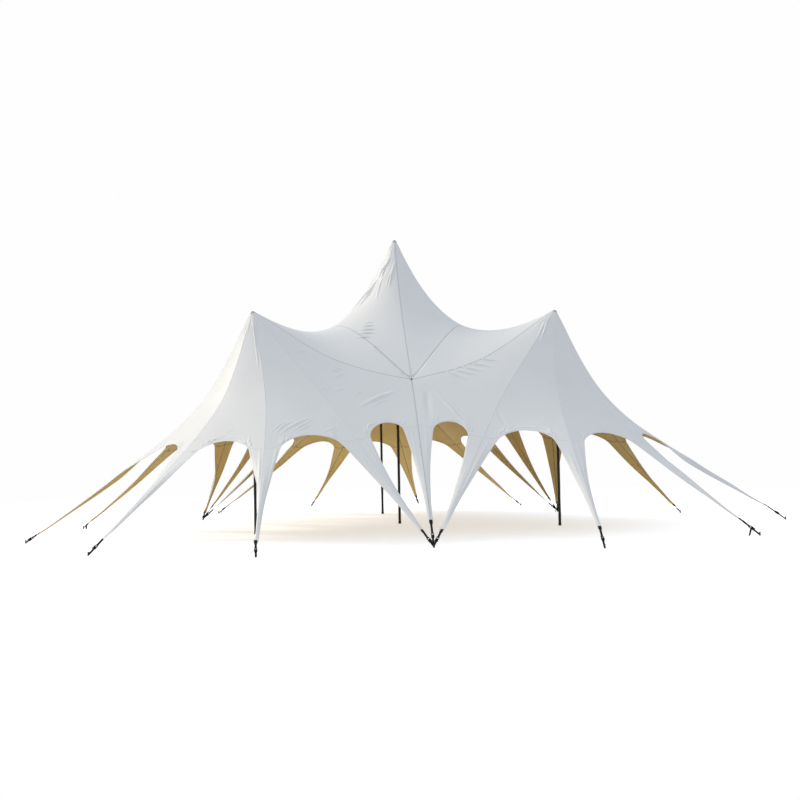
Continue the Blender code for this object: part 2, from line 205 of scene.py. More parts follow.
# Colours of the cloth, and of the room
WHITE = (0.81, 0.81, 0.80)
WHITE_SOILED = (0.785, 0.78, 0.765)
SEAM_WHITE = (0.775, 0.775, 0.77)
SEAM_THREAD = (0.62, 0.62, 0.61)
# The joint seams' grey is painted shade, the dark line that a doubled seam shows along its step, which
# the band's small rise doesn't cast; the soiled grey adds dirt to that shade.
JOINT_SHADE_GREY = (0.585, 0.585, 0.59)
JOINT_SHADE_SOILED = (0.52, 0.52, 0.52)
TAN = (0.78, 0.55, 0.185)
TAN_SOILED = (0.72, 0.50, 0.165)
TAPE_BROWN = (0.33, 0.21, 0.06)
TAPE_SOILED = (0.28, 0.18, 0.06)
PATCH_GREY = (0.52, 0.52, 0.52)
PATCH_SOILED = (0.40, 0.40, 0.39)
FLOOR_RADIUS = 40
FLOOR_BELOW = -0.001
FLOOR_COLOUR = (0.78, 0.78, 0.78)
FLOOR_GLOW = 0.55
FLOOR_FADE = (11.0, 21.0)
BACKDROP = (0.99, 0.99, 0.99)
SKY_COLOUR = (0.85, 0.915, 1.0)
SKY_LOW = 0.575
SKY_HIGH = 0.92
SUN_STRENGTH = 1.9
SUN_SOFTNESS = 20
SUN_COLOUR = (1.0, 0.88, 0.70)
SUN_WAY = (0.72, -0.41, -0.56)

# Anchors: webbing, ratchet and stake
WEB_WIDTH = 0.040
WEB_THICK = 0.0045
WEB_FOOT = 0.014
WEB_LAYER = 0.011
WEB_PAST = 0.005
STRAP_ROLL = 43
STAKE_RADIUS = 0.012
STAKE_HEIGHT = 0.069
# Straps whose spare end hangs out of the ratchet: leg, length, turn from straight back
TAILS = {"left_leg_5": (0.17, -100), "right_leg_3": (0.16, -70), "rear_leg_5": (0.12, 40),
         "right_leg_6": (0.10, 60), "left_leg_2": (0.10, -50)}


def polar(distance, bearing):
    angle = math.radians(bearing)
    return distance * np.array([math.cos(angle), math.sin(angle)])


def unit(vector):
    return vector / np.linalg.norm(vector)


def steps(start, end, count):
    """count + 1 points from start to end."""
    return [start + (end - start) * i / count for i in range(count + 1)]


class Net:
    """Points named by their plan place, the members between them, and the cloths, seams and legs."""

    def __init__(self):
        self.index = {}
        self.held = {}
        self.density = {}
        self.cloths = []
        self.seams = []
        self.legs = []

    def point(self, plan, height=None):
        key = (round(float(plan[0]), 4), round(float(plan[1]), 4))
        number = self.index.setdefault(key, len(self.index))
        if height is not None:
            self.held[number] = (plan[0], plan[1], height)
        return number

    def member(self, a, b, density):
        key = (min(a, b), max(a, b))
        self.density[key] = self.density.get(key, 0.0) + density

    def cord(self, points, density):
        for a, b in zip(points, points[1:]):
            self.member(a, b, density * (len(points) - 1))

    def settle(self):
        """The places of all points once the members' pulls cancel at each point that is free."""
        size = len(self.index)
        first, last = np.array(list(self.density)).T
        density = np.array(list(self.density.values()))
        held = sorted(self.held)
        stiff = np.bincount(first, density, size) + np.bincount(last, density, size)

        def pull(places):
            drawn = (places[first] - places[last]) * density[:, None]
            total = np.stack([np.bincount(first, d, size) - np.bincount(last, d, size)
                              for d in drawn.T], axis=1)
            total[held] = 0
            return total

        places = np.zeros((size, 3))
        places[:, :2] = list(self.index)
        places[:, 2] = OUTER_PEAK / 2
        places[held] = [self.held[i] for i in held]
        left = -pull(places)
        eased = left / stiff[:, None]
        way = eased.copy()
        size_left = np.sum(left * eased)
        limit = size_left * BALANCED ** 2
        while size_left > limit:
            drawn = pull(way)
            step = size_left / np.sum(way * drawn)
            places += step * way
            left -= step * drawn
            eased = left / stiff[:, None]
            before, size_left = size_left, np.sum(left * eased)
            way = eased + way * size_left / before
        return places


def ring_point(centre, first, last, share):
    """A point on the ring round a peak, a share of the way anticlockwise from first to last."""
    start = math.atan2(*(first - centre)[::-1])
    sweep = (math.atan2(*(last - centre)[::-1]) - start) % (2 * math.pi)
    return centre + polar(np.linalg.norm(first - centre), math.degrees(start + sweep * share))


def petal(net, piece, mast, rays, tip_heights):
    """Cloth between two rays from an outer peak, with half a leg down each side."""
    grid = {}
    for row in range(ROWS + 1):
        for strip in range(STRIPS + 1):
            share = strip / STRIPS
            plan = rays[0][row] + (rays[1][row] - rays[0][row]) * share
            if row == 0:
                plan = ring_point(mast, rays[0][0], rays[1][0], share)
            grid[row, strip] = net.point(plan, OUTER_PEAK if row == 0 else None)
    roots = [rays[0][ROWS] + (rays[1][ROWS] - rays[0][ROWS]) * s / STRIPS for s in range(STRIPS + 1)]
    for side, turn in ((0, 1), (1, -1)):
        ridge = rays[side]
        ahead = unit(ridge[-1] - ridge[ROWS])
        across = np.array([-ahead[1], ahead[0]]) * turn
        for row in range(1, LEG_ROWS + 1):
            down = row / LEG_ROWS
            for half in range(LEG_STRIPS + 1):
                strip = half if side == 0 else STRIPS - half
                root_offset = roots[strip] - ridge[ROWS]
                tip_offset = across * LEG_TIP / 2 * half / LEG_STRIPS
                plan = ridge[ROWS + row] + root_offset * (1 - down) + tip_offset * down
                height = tip_heights[side] if row == LEG_ROWS else None
                grid[ROWS + row, strip] = net.point(plan, height)
    net.cloths.append((piece, grid))
    petal_members(net, grid)
    return grid


def petal_members(net, grid):
    for (row, strip), here in grid.items():
        below = grid.get((row + 1, strip))
        if below is not None:
            weight = 0.5 if strip in (0, STRIPS) else 1.0
            rise = math.exp(PETAL_DOWN_RISE * ((row + 0.5) / ROWS - 0.5))
            density = LEG_DOWN * LEG_ROWS if row >= ROWS else ROWS * rise
            net.member(here, below, density * weight / STRIPS)
        beside = grid.get((row, strip + 1))
        if beside is not None and row > 0:
            free_edge = (row + 1, strip) not in grid or (row + 1, strip + 1) not in grid
            weight = 0.5 if free_edge else 1.0
            place = row / ROWS - 0.5
            shape = math.exp(PETAL_ROUND_RISE * place + PETAL_ROUND_WAIST * 4 * place ** 2)
            density = LEG_ROUND / LEG_ROWS if row > ROWS else PETAL_ROUND * shape / ROWS
            net.member(here, beside, density * weight * STRIPS)


def petal_hems(net, grid):
    for strip in (LEG_STRIPS, STRIPS - LEG_STRIPS):
        net.cord([grid[ROWS + row, strip] for row in range(LEG_ROWS, -1, -1)], LEG_HEM)
    net.cord([grid[ROWS, strip] for strip in range(LEG_STRIPS, STRIPS - LEG_STRIPS + 1)], ARCH_HEM)


def arm_cords(net, piece, grid, strip):
    ridge = [grid[row, strip] for row in range(ROWS + 1)]
    leg = [grid[ROWS + row, strip] for row in range(LEG_ROWS + 1)]
    net.cord(ridge, RIDGE_CORD)
    net.cord(leg, LEG_CORD)
    net.seams.append((piece, ridge + leg[1:], False))


def fan(net, piece, centre, height, first, last, rows, pulls):
    """Cloth from a peak down to the straight saddle seam between two low points."""
    down, across, rise = pulls
    grid = {}
    for row in range(rows + 1):
        for strip in range(STRIPS + 1):
            share = strip / STRIPS
            top = ring_point(centre, centre + unit(first - centre) * PEAK_RING,
                             centre + unit(last - centre) * PEAK_RING, share)
            plan = top + (first + (last - first) * share - top) * row / rows
            grid[row, strip] = net.point(plan, height if row == 0 else None)
    net.cloths.append((piece, grid))
    for (row, strip), here in grid.items():
        below = grid.get((row + 1, strip))
        beside = grid.get((row, strip + 1))
        if below is not None:
            weight = 0.5 if strip in (0, STRIPS) else 1.0
            net.member(here, below, down * rows / STRIPS * weight)
        if beside is not None and row > 0:
            weight = 0.5 if row == rows else 1.0
            shape = math.exp(rise * (row / rows - 0.5))
            net.member(here, beside, across * STRIPS / rows * weight * shape)
    return grid


def leg_tip(origin, stake, strap, slope):
    """Plan place and height of a leg's tip, a strap's length up the slope from its stake."""
    back = unit(stake - origin) * strap * math.cos(math.radians(slope))
    return stake - back, strap * math.sin(math.radians(slope)) + TIP_LIFT


def arm_ray(mast, stake, tip):
    """Plan points from the ring at a peak to a leg's root, and on to its tip."""
    ahead = unit(stake - mast)
    root = mast + ahead * ROOT_AT
    return steps(mast + ahead * PEAK_RING, root, ROWS) + steps(root, tip, LEG_ROWS)[1:]


def middle_ray(mast, low, stake, tip):
    """Plan points from a peak to the low point, and from there down the middle leg."""
    root = unit(stake) * MIDDLE_ROOT_AT
    seam = steps(mast + unit(low - mast) * PEAK_RING, low, LOW_ROW)
    return seam + steps(low, root, ROWS - LOW_ROW)[1:] + steps(root, tip, LEG_ROWS)[1:]


SHARED_STAKES = {name: polar(distance, bearing) for name, (distance, bearing, _) in SHARED.items()}
LOW_POINTS = {"front": polar(LOW_AT, 270), "right": polar(LOW_AT, 30), "left": polar(LOW_AT, 150)}
PIECES = ("left", "right", "rear", "centre")


def star_feet(star):
    """The mast of an outer peak, and its six stakes anticlockwise."""
    bearing, outer, _ = STARS[star]
    mast = polar(MAST_RING, bearing)
    before, after = SIDES[star]
    own = [mast + polar(distance, bearing + angle) for distance, angle in outer]
    return mast, [SHARED_STAKES[before]] + own + [SHARED_STAKES[after]]


def star_net(net, star):
    """The canopy round one outer mast: five petals, then the inner cloth to the low points."""
    mast, feet = star_feet(star)
    before, after = SIDES[star]
    straps = STARS[star][2]
    piece = PIECES.index(star)
    tips = [leg_tip(mast, foot, strap, slope) for foot, strap, slope in zip(feet, straps, SLOPES)]
    arms = [arm_ray(mast, foot, tip) for foot, (tip, _) in zip(feet, tips)]
    heights = [height for _, height in tips]
    for q in range(5):
        grid = petal(net, piece, mast, arms[q:q + 2], heights[q:q + 2])
        petal_hems(net, grid)
        arm_cords(net, piece, grid, 0)
        net.legs += [(f"{star}_leg_{q + 1}", grid, 0), (f"{star}_leg_{q + 2}", grid, STRIPS)]
    arm_cords(net, piece, grid, STRIPS)
    for side, last in ((before, False), (after, True)):
        tip, height = leg_tip(np.zeros(2), SHARED_STAKES[side], SHARED[side][2], MIDDLE_SLOPE)
        middle = middle_ray(mast, LOW_POINTS[side], SHARED_STAKES[side], tip)
        rays = (arms[5], middle) if last else (middle, arms[0])
        ends = (heights[5], height) if last else (height, heights[0])
        grid = petal(net, piece, mast, rays, ends)
        petal_hems(net, grid)
        edge = STRIPS if last else 0
        net.legs += [(f"middle_leg_{side}", grid, edge),
                     (f"{star}_leg_{6 if last else 1}", grid, STRIPS - edge)]
        seam = [grid[row, edge] for row in range(LOW_ROW + 1)]
        net.cord(seam, LOW_SEAM)
        net.seams.append((piece, seam, True))
        if last:
            seam = [grid[row, edge] for row in range(LOW_ROW, ROWS + 1)]
            net.cord(seam, MIDDLE_SEAM)
            leg = [grid[ROWS + row, edge] for row in range(LEG_ROWS + 1)]
            net.cord(leg, MIDDLE_SEAM)
            net.seams.append((piece, seam + leg[1:], True))
    grid = fan(net, piece, mast, OUTER_PEAK, LOW_POINTS[after], LOW_POINTS[before], LOW_ROW, SADDLE)
    seam = [grid[LOW_ROW, strip] for strip in range(STRIPS + 1)]
    net.cord(seam, SADDLE_SEAM)
    net.seams.append((piece, seam, True))


def centre_net(net):
    piece = PIECES.index("centre")
    for before, after in SIDES.values():
        grid = fan(net, piece, np.zeros(2), CENTRE_PEAK, LOW_POINTS[before], LOW_POINTS[after],
                   CONE_ROWS, CONE)
        seam = [grid[row, 0] for row in range(CONE_ROWS + 1)]
        net.cord(seam, CONE_SEAM)
        net.seams.append((piece, seam, True))


def cloth_table(grid, places):
    """The settled places of a grid, row by row, with nothing where there is no cloth."""
    table = np.full((max(row for row, _ in grid) + 1, STRIPS + 1, 3), np.nan)
    for (row, strip), point in grid.items():
        table[row, strip] = places[point]
    return table


def is_petal(table):
    return len(table) == ROWS + LEG_ROWS + 1


def flat_table(table):
    """Where each point of a cloth lies in its flat cut: across its row, and down from the peak."""
    across = np.linalg.norm(np.diff(table, axis=1), axis=2)
    down = np.nanmean(np.linalg.norm(np.diff(table, axis=0), axis=2), axis=1)
    none = np.zeros((len(table), 1))
    left = np.hstack([none, np.nancumsum(across, axis=1)])
    right = np.hstack([np.nancumsum(across[:, ::-1], axis=1)[:, ::-1], none])
    half = left[:, -1] / 2
    if is_petal(table):
        half[ROWS:] = half[ROWS]
    side = np.arange(STRIPS + 1) <= STRIPS / 2
    flat_across = np.where(side, left - half[:, None], half[:, None] - right)
    flat_down = -np.concatenate([[0], np.cumsum(down)])
    return np.dstack([flat_across, np.broadcast_to(flat_down[:, None], left.shape)])


def cloth_cells(piece, grid, places):
    """Cells wherever four neighbouring points of a grid exist, facing the sky, with flat places."""
    flat = flat_table(cloth_table(grid, places))
    cells = []
    for row, strip in grid:
        corners = [(row, strip), (row + 1, strip), (row + 1, strip + 1), (row, strip + 1)]
        if not all(corner in grid for corner in corners):
            continue
        plan = places[[grid[corner] for corner in corners]][:, :2]
        nexts = np.roll(plan, -1, axis=0)
        if np.sum(plan[:, 0] * nexts[:, 1] - plan[:, 1] * nexts[:, 0]) < 0:
            corners = corners[::-1]
        cells.append((piece, [grid[c] for c in corners], [flat[c] for c in corners]))
    return cells


def smooth_step(share):
    share = min(1.0, max(0.0, share))
    return share * share * (3 - 2 * share)


def curl_legs(net, places):
    """The net with the edges of each leg turned down, and some legs turned about their ridge."""
    shaped_places = places.copy()
    for name, grid, edge in net.legs:
        inward = 1 if edge == 0 else -1
        turn = math.radians(TURNED_LEGS.get(name, 0))
        clockwise, anticlockwise = CURLED_LEGS.get(name, (LEG_CURL, LEG_CURL))
        curl = math.radians(anticlockwise if edge == 0 else clockwise)
        ridge = places[[grid[ROWS + row, edge] for row in range(LEG_ROWS + 1)]]
        aheads = np.gradient(ridge, axis=0)
        for row in range(1, LEG_ROWS + 1):
            grip = smooth_step(row / CURL_ROWS) * smooth_step((LEG_ROWS - row) / TIP_ROWS)
            ahead = unit(aheads[row])
            offsets = [places[grid[ROWS + row, edge + inward * half]] - ridge[row]
                       for half in range(LEG_STRIPS + 1)]
            across = unit(offsets[-1] - ahead * (offsets[-1] @ ahead))
            under = np.cross(ahead, across)
            under *= -np.sign(under[2])
            width = offsets[-1] @ across
            bend = curl * grip
            for half in range(1, LEG_STRIPS + 1):
                along = ahead * (offsets[half] @ ahead)
                run = np.linalg.norm(offsets[half] - along)
                angle = max(bend, 1e-6) * run / width
                reach = width / max(bend, 1e-6)
                moved = across * reach * math.sin(angle) + under * reach * (1 - math.cos(angle))
                spin = turn * smooth_step(row / TURN_ROWS)
                moved = moved * math.cos(spin) + np.cross(ahead, moved) * math.sin(spin)
                shaped_places[grid[ROWS + row, edge + inward * half]] = ridge[row] + along + moved
    return shaped_places


def trace(table, stops, count):
    """Points on a cloth along a line of stops, each given as row and strip."""
    at = np.linspace(0, len(stops) - 1, count)
    row, strip = (np.interp(at, range(len(stops)), values) for values in zip(*stops))
    r = np.clip(row.astype(int), 0, len(table) - 2)
    s = np.clip(strip.astype(int), 0, STRIPS - 1)
    a = (row - r)[:, None]
    b = (strip - s)[:, None]
    points = ((table[r, s] * (1 - a) + table[r + 1, s] * a) * (1 - b)
              + (table[r, s + 1] * (1 - a) + table[r + 1, s + 1] * a) * b)
    return points[~np.isnan(points).any(axis=1)]


def fold(path, width, height, skew=1.0):
    """A fold along a path: half widths and heights, dying out at its two ends."""
    share = np.linspace(0, 1, len(path))
    return path, width * np.ones(len(path)), height * np.sin(math.pi * share ** skew)


def gathers(table, strips, count, lengths, chance):
    """Folds that run down from a peak, where the cloth is drawn together round the mast head."""
    folds = []
    for number in range(count):
        share = (number + chance.uniform(0.25, 0.75)) / count
        strip = strips[0] + (strips[1] - strips[0]) * share
        path = trace(table, [(0.6, strip), (chance.uniform(*lengths), strip + chance.uniform(-1, 1))], 16)
        spread = np.linalg.norm(path - path[0], axis=1)
        width = 0.007 + GATHER_SPREAD * spread
        height = width * chance.uniform(0.26, 0.48)
        folds.append(fold(path, width.clip(0, GATHER_WIDEST), height.clip(0, 0.022), 0.6))
    return folds


def root_folds(table, side, chance):
    """Short folds that spread from the corner between an arch and a leg into the cloth above."""
    folds = []
    count = chance.randint(8, 12)
    for number in range(count):
        turn = math.radians(4 + 86 * (number + chance.uniform(0.1, 0.9)) / count)
        start = chance.uniform(0.06, 0.20)
        length = chance.uniform(0.10, 0.24) + 0.40 * math.cos(turn) * chance.random()
        stops = []
        for away in (start, start + length / 2, start + length):
            lean = turn + 0.25 * (away - start)
            row = ROWS - 0.3 - away * math.sin(lean) / ROOT_ROW
            strip = LEG_STRIPS + away * math.cos(lean) / ROOT_STRIP
            stops.append((row, strip if side == 0 else STRIPS - strip))
        path = trace(table, stops, 9)
        folds.append(fold(path, chance.uniform(0.015, 0.022), chance.uniform(0.005, 0.013)))
    return folds


def arch_folds(table, chance):
    """Long shallow folds that follow the arch between two legs."""
    folds = []
    for number in range(chance.randint(3, 6)):
        row = ROWS - 0.5 - chance.uniform(0.03, 0.36) / ROOT_ROW
        first = chance.uniform(LEG_STRIPS + 1, STRIPS * 0.55)
        last = first + chance.uniform(0.25, 0.75) / ROOT_STRIP
        rise = chance.uniform(0, 0.06) / ROOT_ROW
        path = trace(table, [(row, first), (row - rise, (first + last) / 2), (row, last)], 12)
        folds.append(fold(path, chance.uniform(0.018, 0.028), chance.uniform(0.004, 0.010)))
    return folds


def leg_folds(table, side, chance):
    """Folds that run down a leg, narrowing with it."""
    folds = []
    for number in range(3):
        strip = LEG_STRIPS * chance.uniform(0.15, 0.88)
        first = chance.uniform(-0.15, 0.25)
        last = min(0.96, first + chance.uniform(0.3, 0.7))
        stops = [(ROWS + share * LEG_ROWS, strip if side == 0 else STRIPS - strip)
                 for share in (first, last)]
        path = trace(table, stops, 16)
        slim = 1 - 0.75 * np.linspace(first, last, len(path)).clip(0, 1)
        width = chance.uniform(0.020, 0.030) * slim
        folds.append(fold(path, width, width * chance.uniform(0.16, 0.36)))
    return folds


def seen_folds(surface):
    """The folds that the photograph shows, cast from the camera onto the cloth."""
    folds = []
    for pixels, width, height in SEEN_FOLDS:
        at = np.linspace(0, len(pixels) - 1, 15)
        across, down = (np.interp(at, range(len(pixels)), values) for values in zip(*pixels))
        hits = [surface.ray_cast(Vector(VIEW_FROM), view_ray(x, y))[0] for x, y in zip(across, down)]
        path = np.array([hit for hit in hits if hit is not None])
        if len(path) > 4:
            folds.append(fold(path, width, height))
    return folds


def beside(points, order, path, widths, reach):
    """The points that lie near a path: their numbers, places along it, and widths away from it."""
    along = points[order, 0]
    margin = reach * widths.max()
    low = path.min(axis=0) - margin
    high = path.max(axis=0) + margin
    near = order[slice(*np.searchsorted(along, (low[0], high[0])))]
    near = near[np.all((points[near] > low) & (points[near] < high), axis=1)]
    if not len(near):
        return near, np.zeros(0), np.zeros(0)
    step = np.diff(path, axis=0)
    gap = points[near][:, None] - path[:-1]
    share = np.clip((gap * step).sum(axis=2) / (step ** 2).sum(axis=1), 0, 1)
    off = np.linalg.norm(gap - share[..., None] * step, axis=2)
    best = off.argmin(axis=1)
    pick = (np.arange(len(near)), best)
    at = best + share[pick]
    return near, at, off[pick] / np.interp(at, np.arange(len(path)), widths)


def pressed(points, normals, folds):
    """The points moved along their normals by each fold that passes near them."""
    order = np.argsort(points[:, 0])
    lift = np.zeros(len(points))
    for path, widths, heights in folds:
        near, at, away = beside(points, order, path, widths, FOLD_REACH)
        rise = np.interp(at, np.arange(len(path)), heights)
        lift[near] += rise * (1 - away ** 2) * np.exp(-away ** 2)
    return points + normals * lift[:, None]


def slack(points, chance):
    """Slow rises and dips of cloth that isn't quite even, as heights at the points."""
    rise = np.zeros(len(points))
    for _ in range(SLACK_WAVES):
        heading = np.array([chance.gauss(0, 1), chance.gauss(0, 1), chance.gauss(0, 0.6)])
        wave = unit(heading) * 2 * math.pi / chance.uniform(*SLACK_LENGTHS)
        rise += np.sin(points @ wave + chance.uniform(0, 2 * math.pi))
    return rise * SLACK_RISE / math.sqrt(SLACK_WAVES)


def only(*objects):
    """Selects these objects alone, the first of them active."""
    bpy.ops.object.select_all(action="DESELECT")
    for obj in objects:
        obj.select_set(True)
    bpy.context.view_layer.objects.active = objects[0]


def apply(obj, name, kind, **settings):
    """Adds a modifier and applies it."""
    only(obj)
    modifier = obj.modifiers.new(name, kind)
    for key, value in settings.items():
        setattr(modifier, key, value)
    bpy.ops.object.modifier_apply(modifier=name)


def new_object(name, points, faces, materials=()):
    mesh = bpy.data.meshes.new(name)
    mesh.from_pydata(points, [], faces)
    obj = bpy.data.objects.new(name, mesh)
    bpy.context.scene.collection.objects.link(obj)
    for material in materials:
        mesh.materials.append(material)
    return obj


def mesh_arrays(obj):
    """The points of a mesh and their normals."""
    count = len(obj.data.vertices)
    points = np.zeros(count * 3)
    normals = np.zeros(count * 3)
    obj.data.vertices.foreach_get("co", points)
    obj.data.vertices.foreach_get("normal", normals)
    return points.reshape(-1, 3), normals.reshape(-1, 3)


def surface_of(*objects):
    """A search tree over the faces of some meshes."""
    points, faces = [], []
    for obj in objects:
        first = len(points)
        points += [tuple(v.co) for v in obj.data.vertices]
        faces += [[first + i for i in p.vertices] for p in obj.data.polygons]
    return BVHTree.FromPolygons(points, faces)


def all_folds(tables, surface, chance):
    """Every fold in the canopy, cloth by cloth, then those that show in the photograph."""
    folds = []
    whole = (0, STRIPS)
    cones = 0
    for piece, table in tables:
        if is_petal(table):
            folds += gathers(table, whole, 4, (3, 9), chance)
            folds += arch_folds(table, chance)
            for side in (0, 1):
                folds += root_folds(table, side, chance)
                folds += leg_folds(table, side, chance)
        elif piece != PIECES.index("centre"):
            folds += gathers(table, whole, 6, (2, 5), chance)
        else:
            cones += 1
            folds += gathers(table, whole, 8, (3, 9), chance)
            if cones == 1:
                folds += gathers(table, WINDWARD_STRIPS, 7, (9, 20), chance)
    return [each for each in folds if len(each[0]) > 3] + seen_folds(surface)


def make_canopy(net, places, cells, finishes):
    """The canopy as four smooth sheets of folded cloth, white above and tan below."""
    sheet = new_object("canopy", places.tolist(), [corners for _, corners, _ in cells])
    for piece in PIECES:
        sheet.data.materials.append(bpy.data.materials.new(f"sort_{piece}"))
    sheet.data.polygons.foreach_set("material_index", [piece for piece, _, _ in cells])
    flat = sheet.data.uv_layers.new(name="cloth")
    flat.data.foreach_set("uv", np.array([uv for _, _, uvs in cells for uv in uvs]).ravel())
    surface = surface_of(sheet)
    apply(sheet, "finer", "SUBSURF", levels=2, render_levels=2)
    chance = random.Random(FOLD_SEED)
    tables = [(piece, cloth_table(grid, places)) for piece, grid in net.cloths]
    folds = all_folds(tables, surface, chance)
    points, normals = mesh_arrays(sheet)
    away = np.linalg.norm(points[:, :2, None] - peak_places().T[None], axis=1).min(axis=1)
    held = np.minimum(1, away)
    points = points + normals * (slack(points, chance) * held)[:, None]
    points = pressed(points, normals, folds)
    sheet.data.vertices.foreach_set("co", points.ravel())
    edge = outer_edge(sheet)
    only(sheet)
    bpy.ops.mesh.separate(type="MATERIAL")
    sheets = {}
    for part in list(bpy.context.selected_objects):
        piece = part.data.materials[0].name.removeprefix("sort_")
        part.name = part.data.name = f"canopy_{piece}"
        limit = CONE_TRIANGLES if piece == "centre" else STAR_TRIANGLES
        triangles = sum(len(face.vertices) - 2 for face in part.data.polygons)
        apply(part, "lighter", "DECIMATE", ratio=limit / triangles)
        part.data.materials.clear()
        for finish in finishes:
            part.data.materials.append(finish)
        part.data.polygons.foreach_set("material_index", [0] * len(part.data.polygons))
        sheets[piece] = part
    return sheets, edge


def peak_places():
    """The plan places of the four peaks."""
    return np.array([(0.0, 0.0)] + [polar(MAST_RING, bearing) for bearing, _, _ in STARS.values()])


def outer_edge(sheet):
    """The outer edge of the cloth: its points in order, and the piece that each belongs to."""
    mesh = bmesh.new()
    mesh.from_mesh(sheet.data)
    edges = [edge for edge in mesh.edges if edge.is_boundary]
    nexts = {}
    for edge in edges:
        loop = edge.link_loops[0]
        nexts[loop.vert.index] = (loop.link_loop_next.vert.index, loop.face.material_index)
    loops = []
    while nexts:
        here = next(iter(nexts))
        loop = []
        while here in nexts:
            there, piece = nexts.pop(here)
            loop.append((here, piece))
            here = there
        loops.append(loop)
    longest = max(loops, key=len)
    mesh.verts.ensure_lookup_table()
    edge = [(np.array(mesh.verts[index].co), PIECES[piece]) for index, piece in longest]
    mesh.free()
    return edge


def evenly(path, gap):
    """Points a fixed gap apart along a path."""
    lengths = np.concatenate([[0], np.cumsum(np.linalg.norm(np.diff(path, axis=0), axis=1))])
    count = max(2, round(lengths[-1] / gap) + 1)
    at = np.linspace(0, lengths[-1], count)
    return np.stack([np.interp(at, lengths, values) for values in path.T], axis=1)


def eased(values, rounds):
    """A run of vectors, each drawn towards its neighbours."""
    for _ in range(rounds):
        values[1:-1] = (values[:-2] + 2 * values[1:-1] + values[2:]) / 4
    return values


def swept(name, sections, finishes, second=(), widths=None):
    """A closed band through sections of points, with the cloth's run and width as its flat places."""
    count, corners = sections.shape[:2]
    faces = []
    kinds = []
    for i in range(count - 1):
        for j in range(corners):
            k = (j + 1) % corners
            faces.append([i * corners + j, i * corners + k, (i + 1) * corners + k, (i + 1) * corners + j])
            kinds.append(1 if j in second else 0)
    faces.append(list(range(corners))[::-1])
    faces.append([(count - 1) * corners + j for j in range(corners)])
    kinds += [0, 0]
    obj = new_object(name, sections.reshape(-1, 3).tolist(), faces, finishes)
    obj.data.polygons.foreach_set("material_index", kinds)
    run = np.concatenate([[0], np.cumsum(np.linalg.norm(np.diff(sections[:, 0], axis=0), axis=1))])
    around = np.linalg.norm(sections[0] - np.roll(sections[0], 1, axis=0), axis=1)
    around[0] = 0
    around = np.cumsum(around)
    flat = obj.data.uv_layers.new(name="cloth")
    uvs = [(run[v // corners], around[v % corners]) for face in faces for v in face]
    flat.data.foreach_set("uv", np.array(uvs).ravel())
    return obj


def on_surface(surface, point):
    """The nearest place on the cloth to a point, and the way out of the cloth there."""
    place, normal, _, _ = surface.find_nearest(Vector(point))
    return np.array(place), np.array(normal)


def seam_band(name, surface, path, width, rise, below, finish):
    """A flat-felled band along a seam, above the cloth or below it."""
    path = evenly(path, BAND_STEP)
    normals = eased(np.array([on_surface(surface, p)[1] for p in path]), 2)
    aheads = np.gradient(path, axis=0)
    sections = []
    for point, normal, ahead in zip(path, normals, aheads):
        across = unit(np.cross(ahead, normal))
        upper, lower = [], []
        for share, height in ((-1, 0.15), (-0.72, 1), (0, 1.15), (0.72, 1), (1, 0.15)):
            place, out = on_surface(surface, point + across * width / 2 * share)
            if below:
                upper.append(place - normal * (CLOTH + rise * height))
                lower.append(place - normal * CLOTH * 0.6)
            else:
                upper.append(place + normal * rise * height)
                lower.append(place - normal * CLOTH * 0.4)
        sections.append(upper + [lower[4], lower[2], lower[0]])
    sections = np.array(sections)
    if below:
        sections = sections[:, ::-1]
    return swept(name, sections, [finish])


def joined(name, objects):
    """Several objects made into one."""
    only(*objects)
    if len(objects) > 1:
        bpy.ops.object.join()
    obj = bpy.context.view_layer.objects.active
    obj.name = obj.data.name = name
    return obj


def make_seams(net, places, surface, finishes):
    """The seams of each sheet: white felling above, grey felling with painted shade on the joints, and
    tan tape below.
    """
    lines = [(PIECES[piece], places[points], joint) for piece, points, joint in net.seams]
    for piece, grid in net.cloths:
        table = cloth_table(grid, places)
        if is_petal(table):
            for edge, inner in ((0, LEG_STRIPS), (STRIPS, STRIPS - LEG_STRIPS)):
                apex = ROWS - CROSS_RISE
                if np.linalg.norm(table[apex, edge, :2]) < MIDDLE_ROOT_AT:
                    apex = ROWS - MIDDLE_CROSS_RISE
                bend = (edge + (inner - edge) * 0.55)
                stops = [(apex, edge), (ROWS - 0.45 * (ROWS - apex), bend), (ROWS - 0.25, inner)]
                lines.append((PIECES[piece], trace(table, stops, 9), False))
    seams = {}
    for piece, path, joint in lines:
        # Joint seams get the grey finish, whose grey is painted shade along the seam.
        width, finish = (JOINT_WIDTH, finishes[1]) if joint else (SEAM_WIDTH, finishes[0])
        above = seam_band("band", surface, path, width, SEAM_RISE, False, finish)
        below = seam_band("tape", surface, path, TAPE_WIDTH, SEAM_RISE, True, finishes[2])
        seams.setdefault(piece, []).extend([above, below])
    return {piece: joined(f"seams_{piece}", bands) for piece, bands in seams.items()}


def make_hems(edge, surface, finishes):
    """A folded hem on the outer edge of each sheet, white above and tan below."""
    starts = [i for i in range(len(edge)) if edge[i][1] != edge[i - 1][1]]
    turned = edge[starts[0]:] + edge[:starts[0]]
    hems = {}
    run = []
    for place, piece in turned + [turned[0]]:
        if run and piece != run[-1][1]:
            run.append((place, run[-1][1]))
            hems[run[0][1]] = hem_band(f"hem_{run[0][1]}", [p for p, _ in run], surface, finishes)
            run = []
        run.append((place, piece))
    return hems


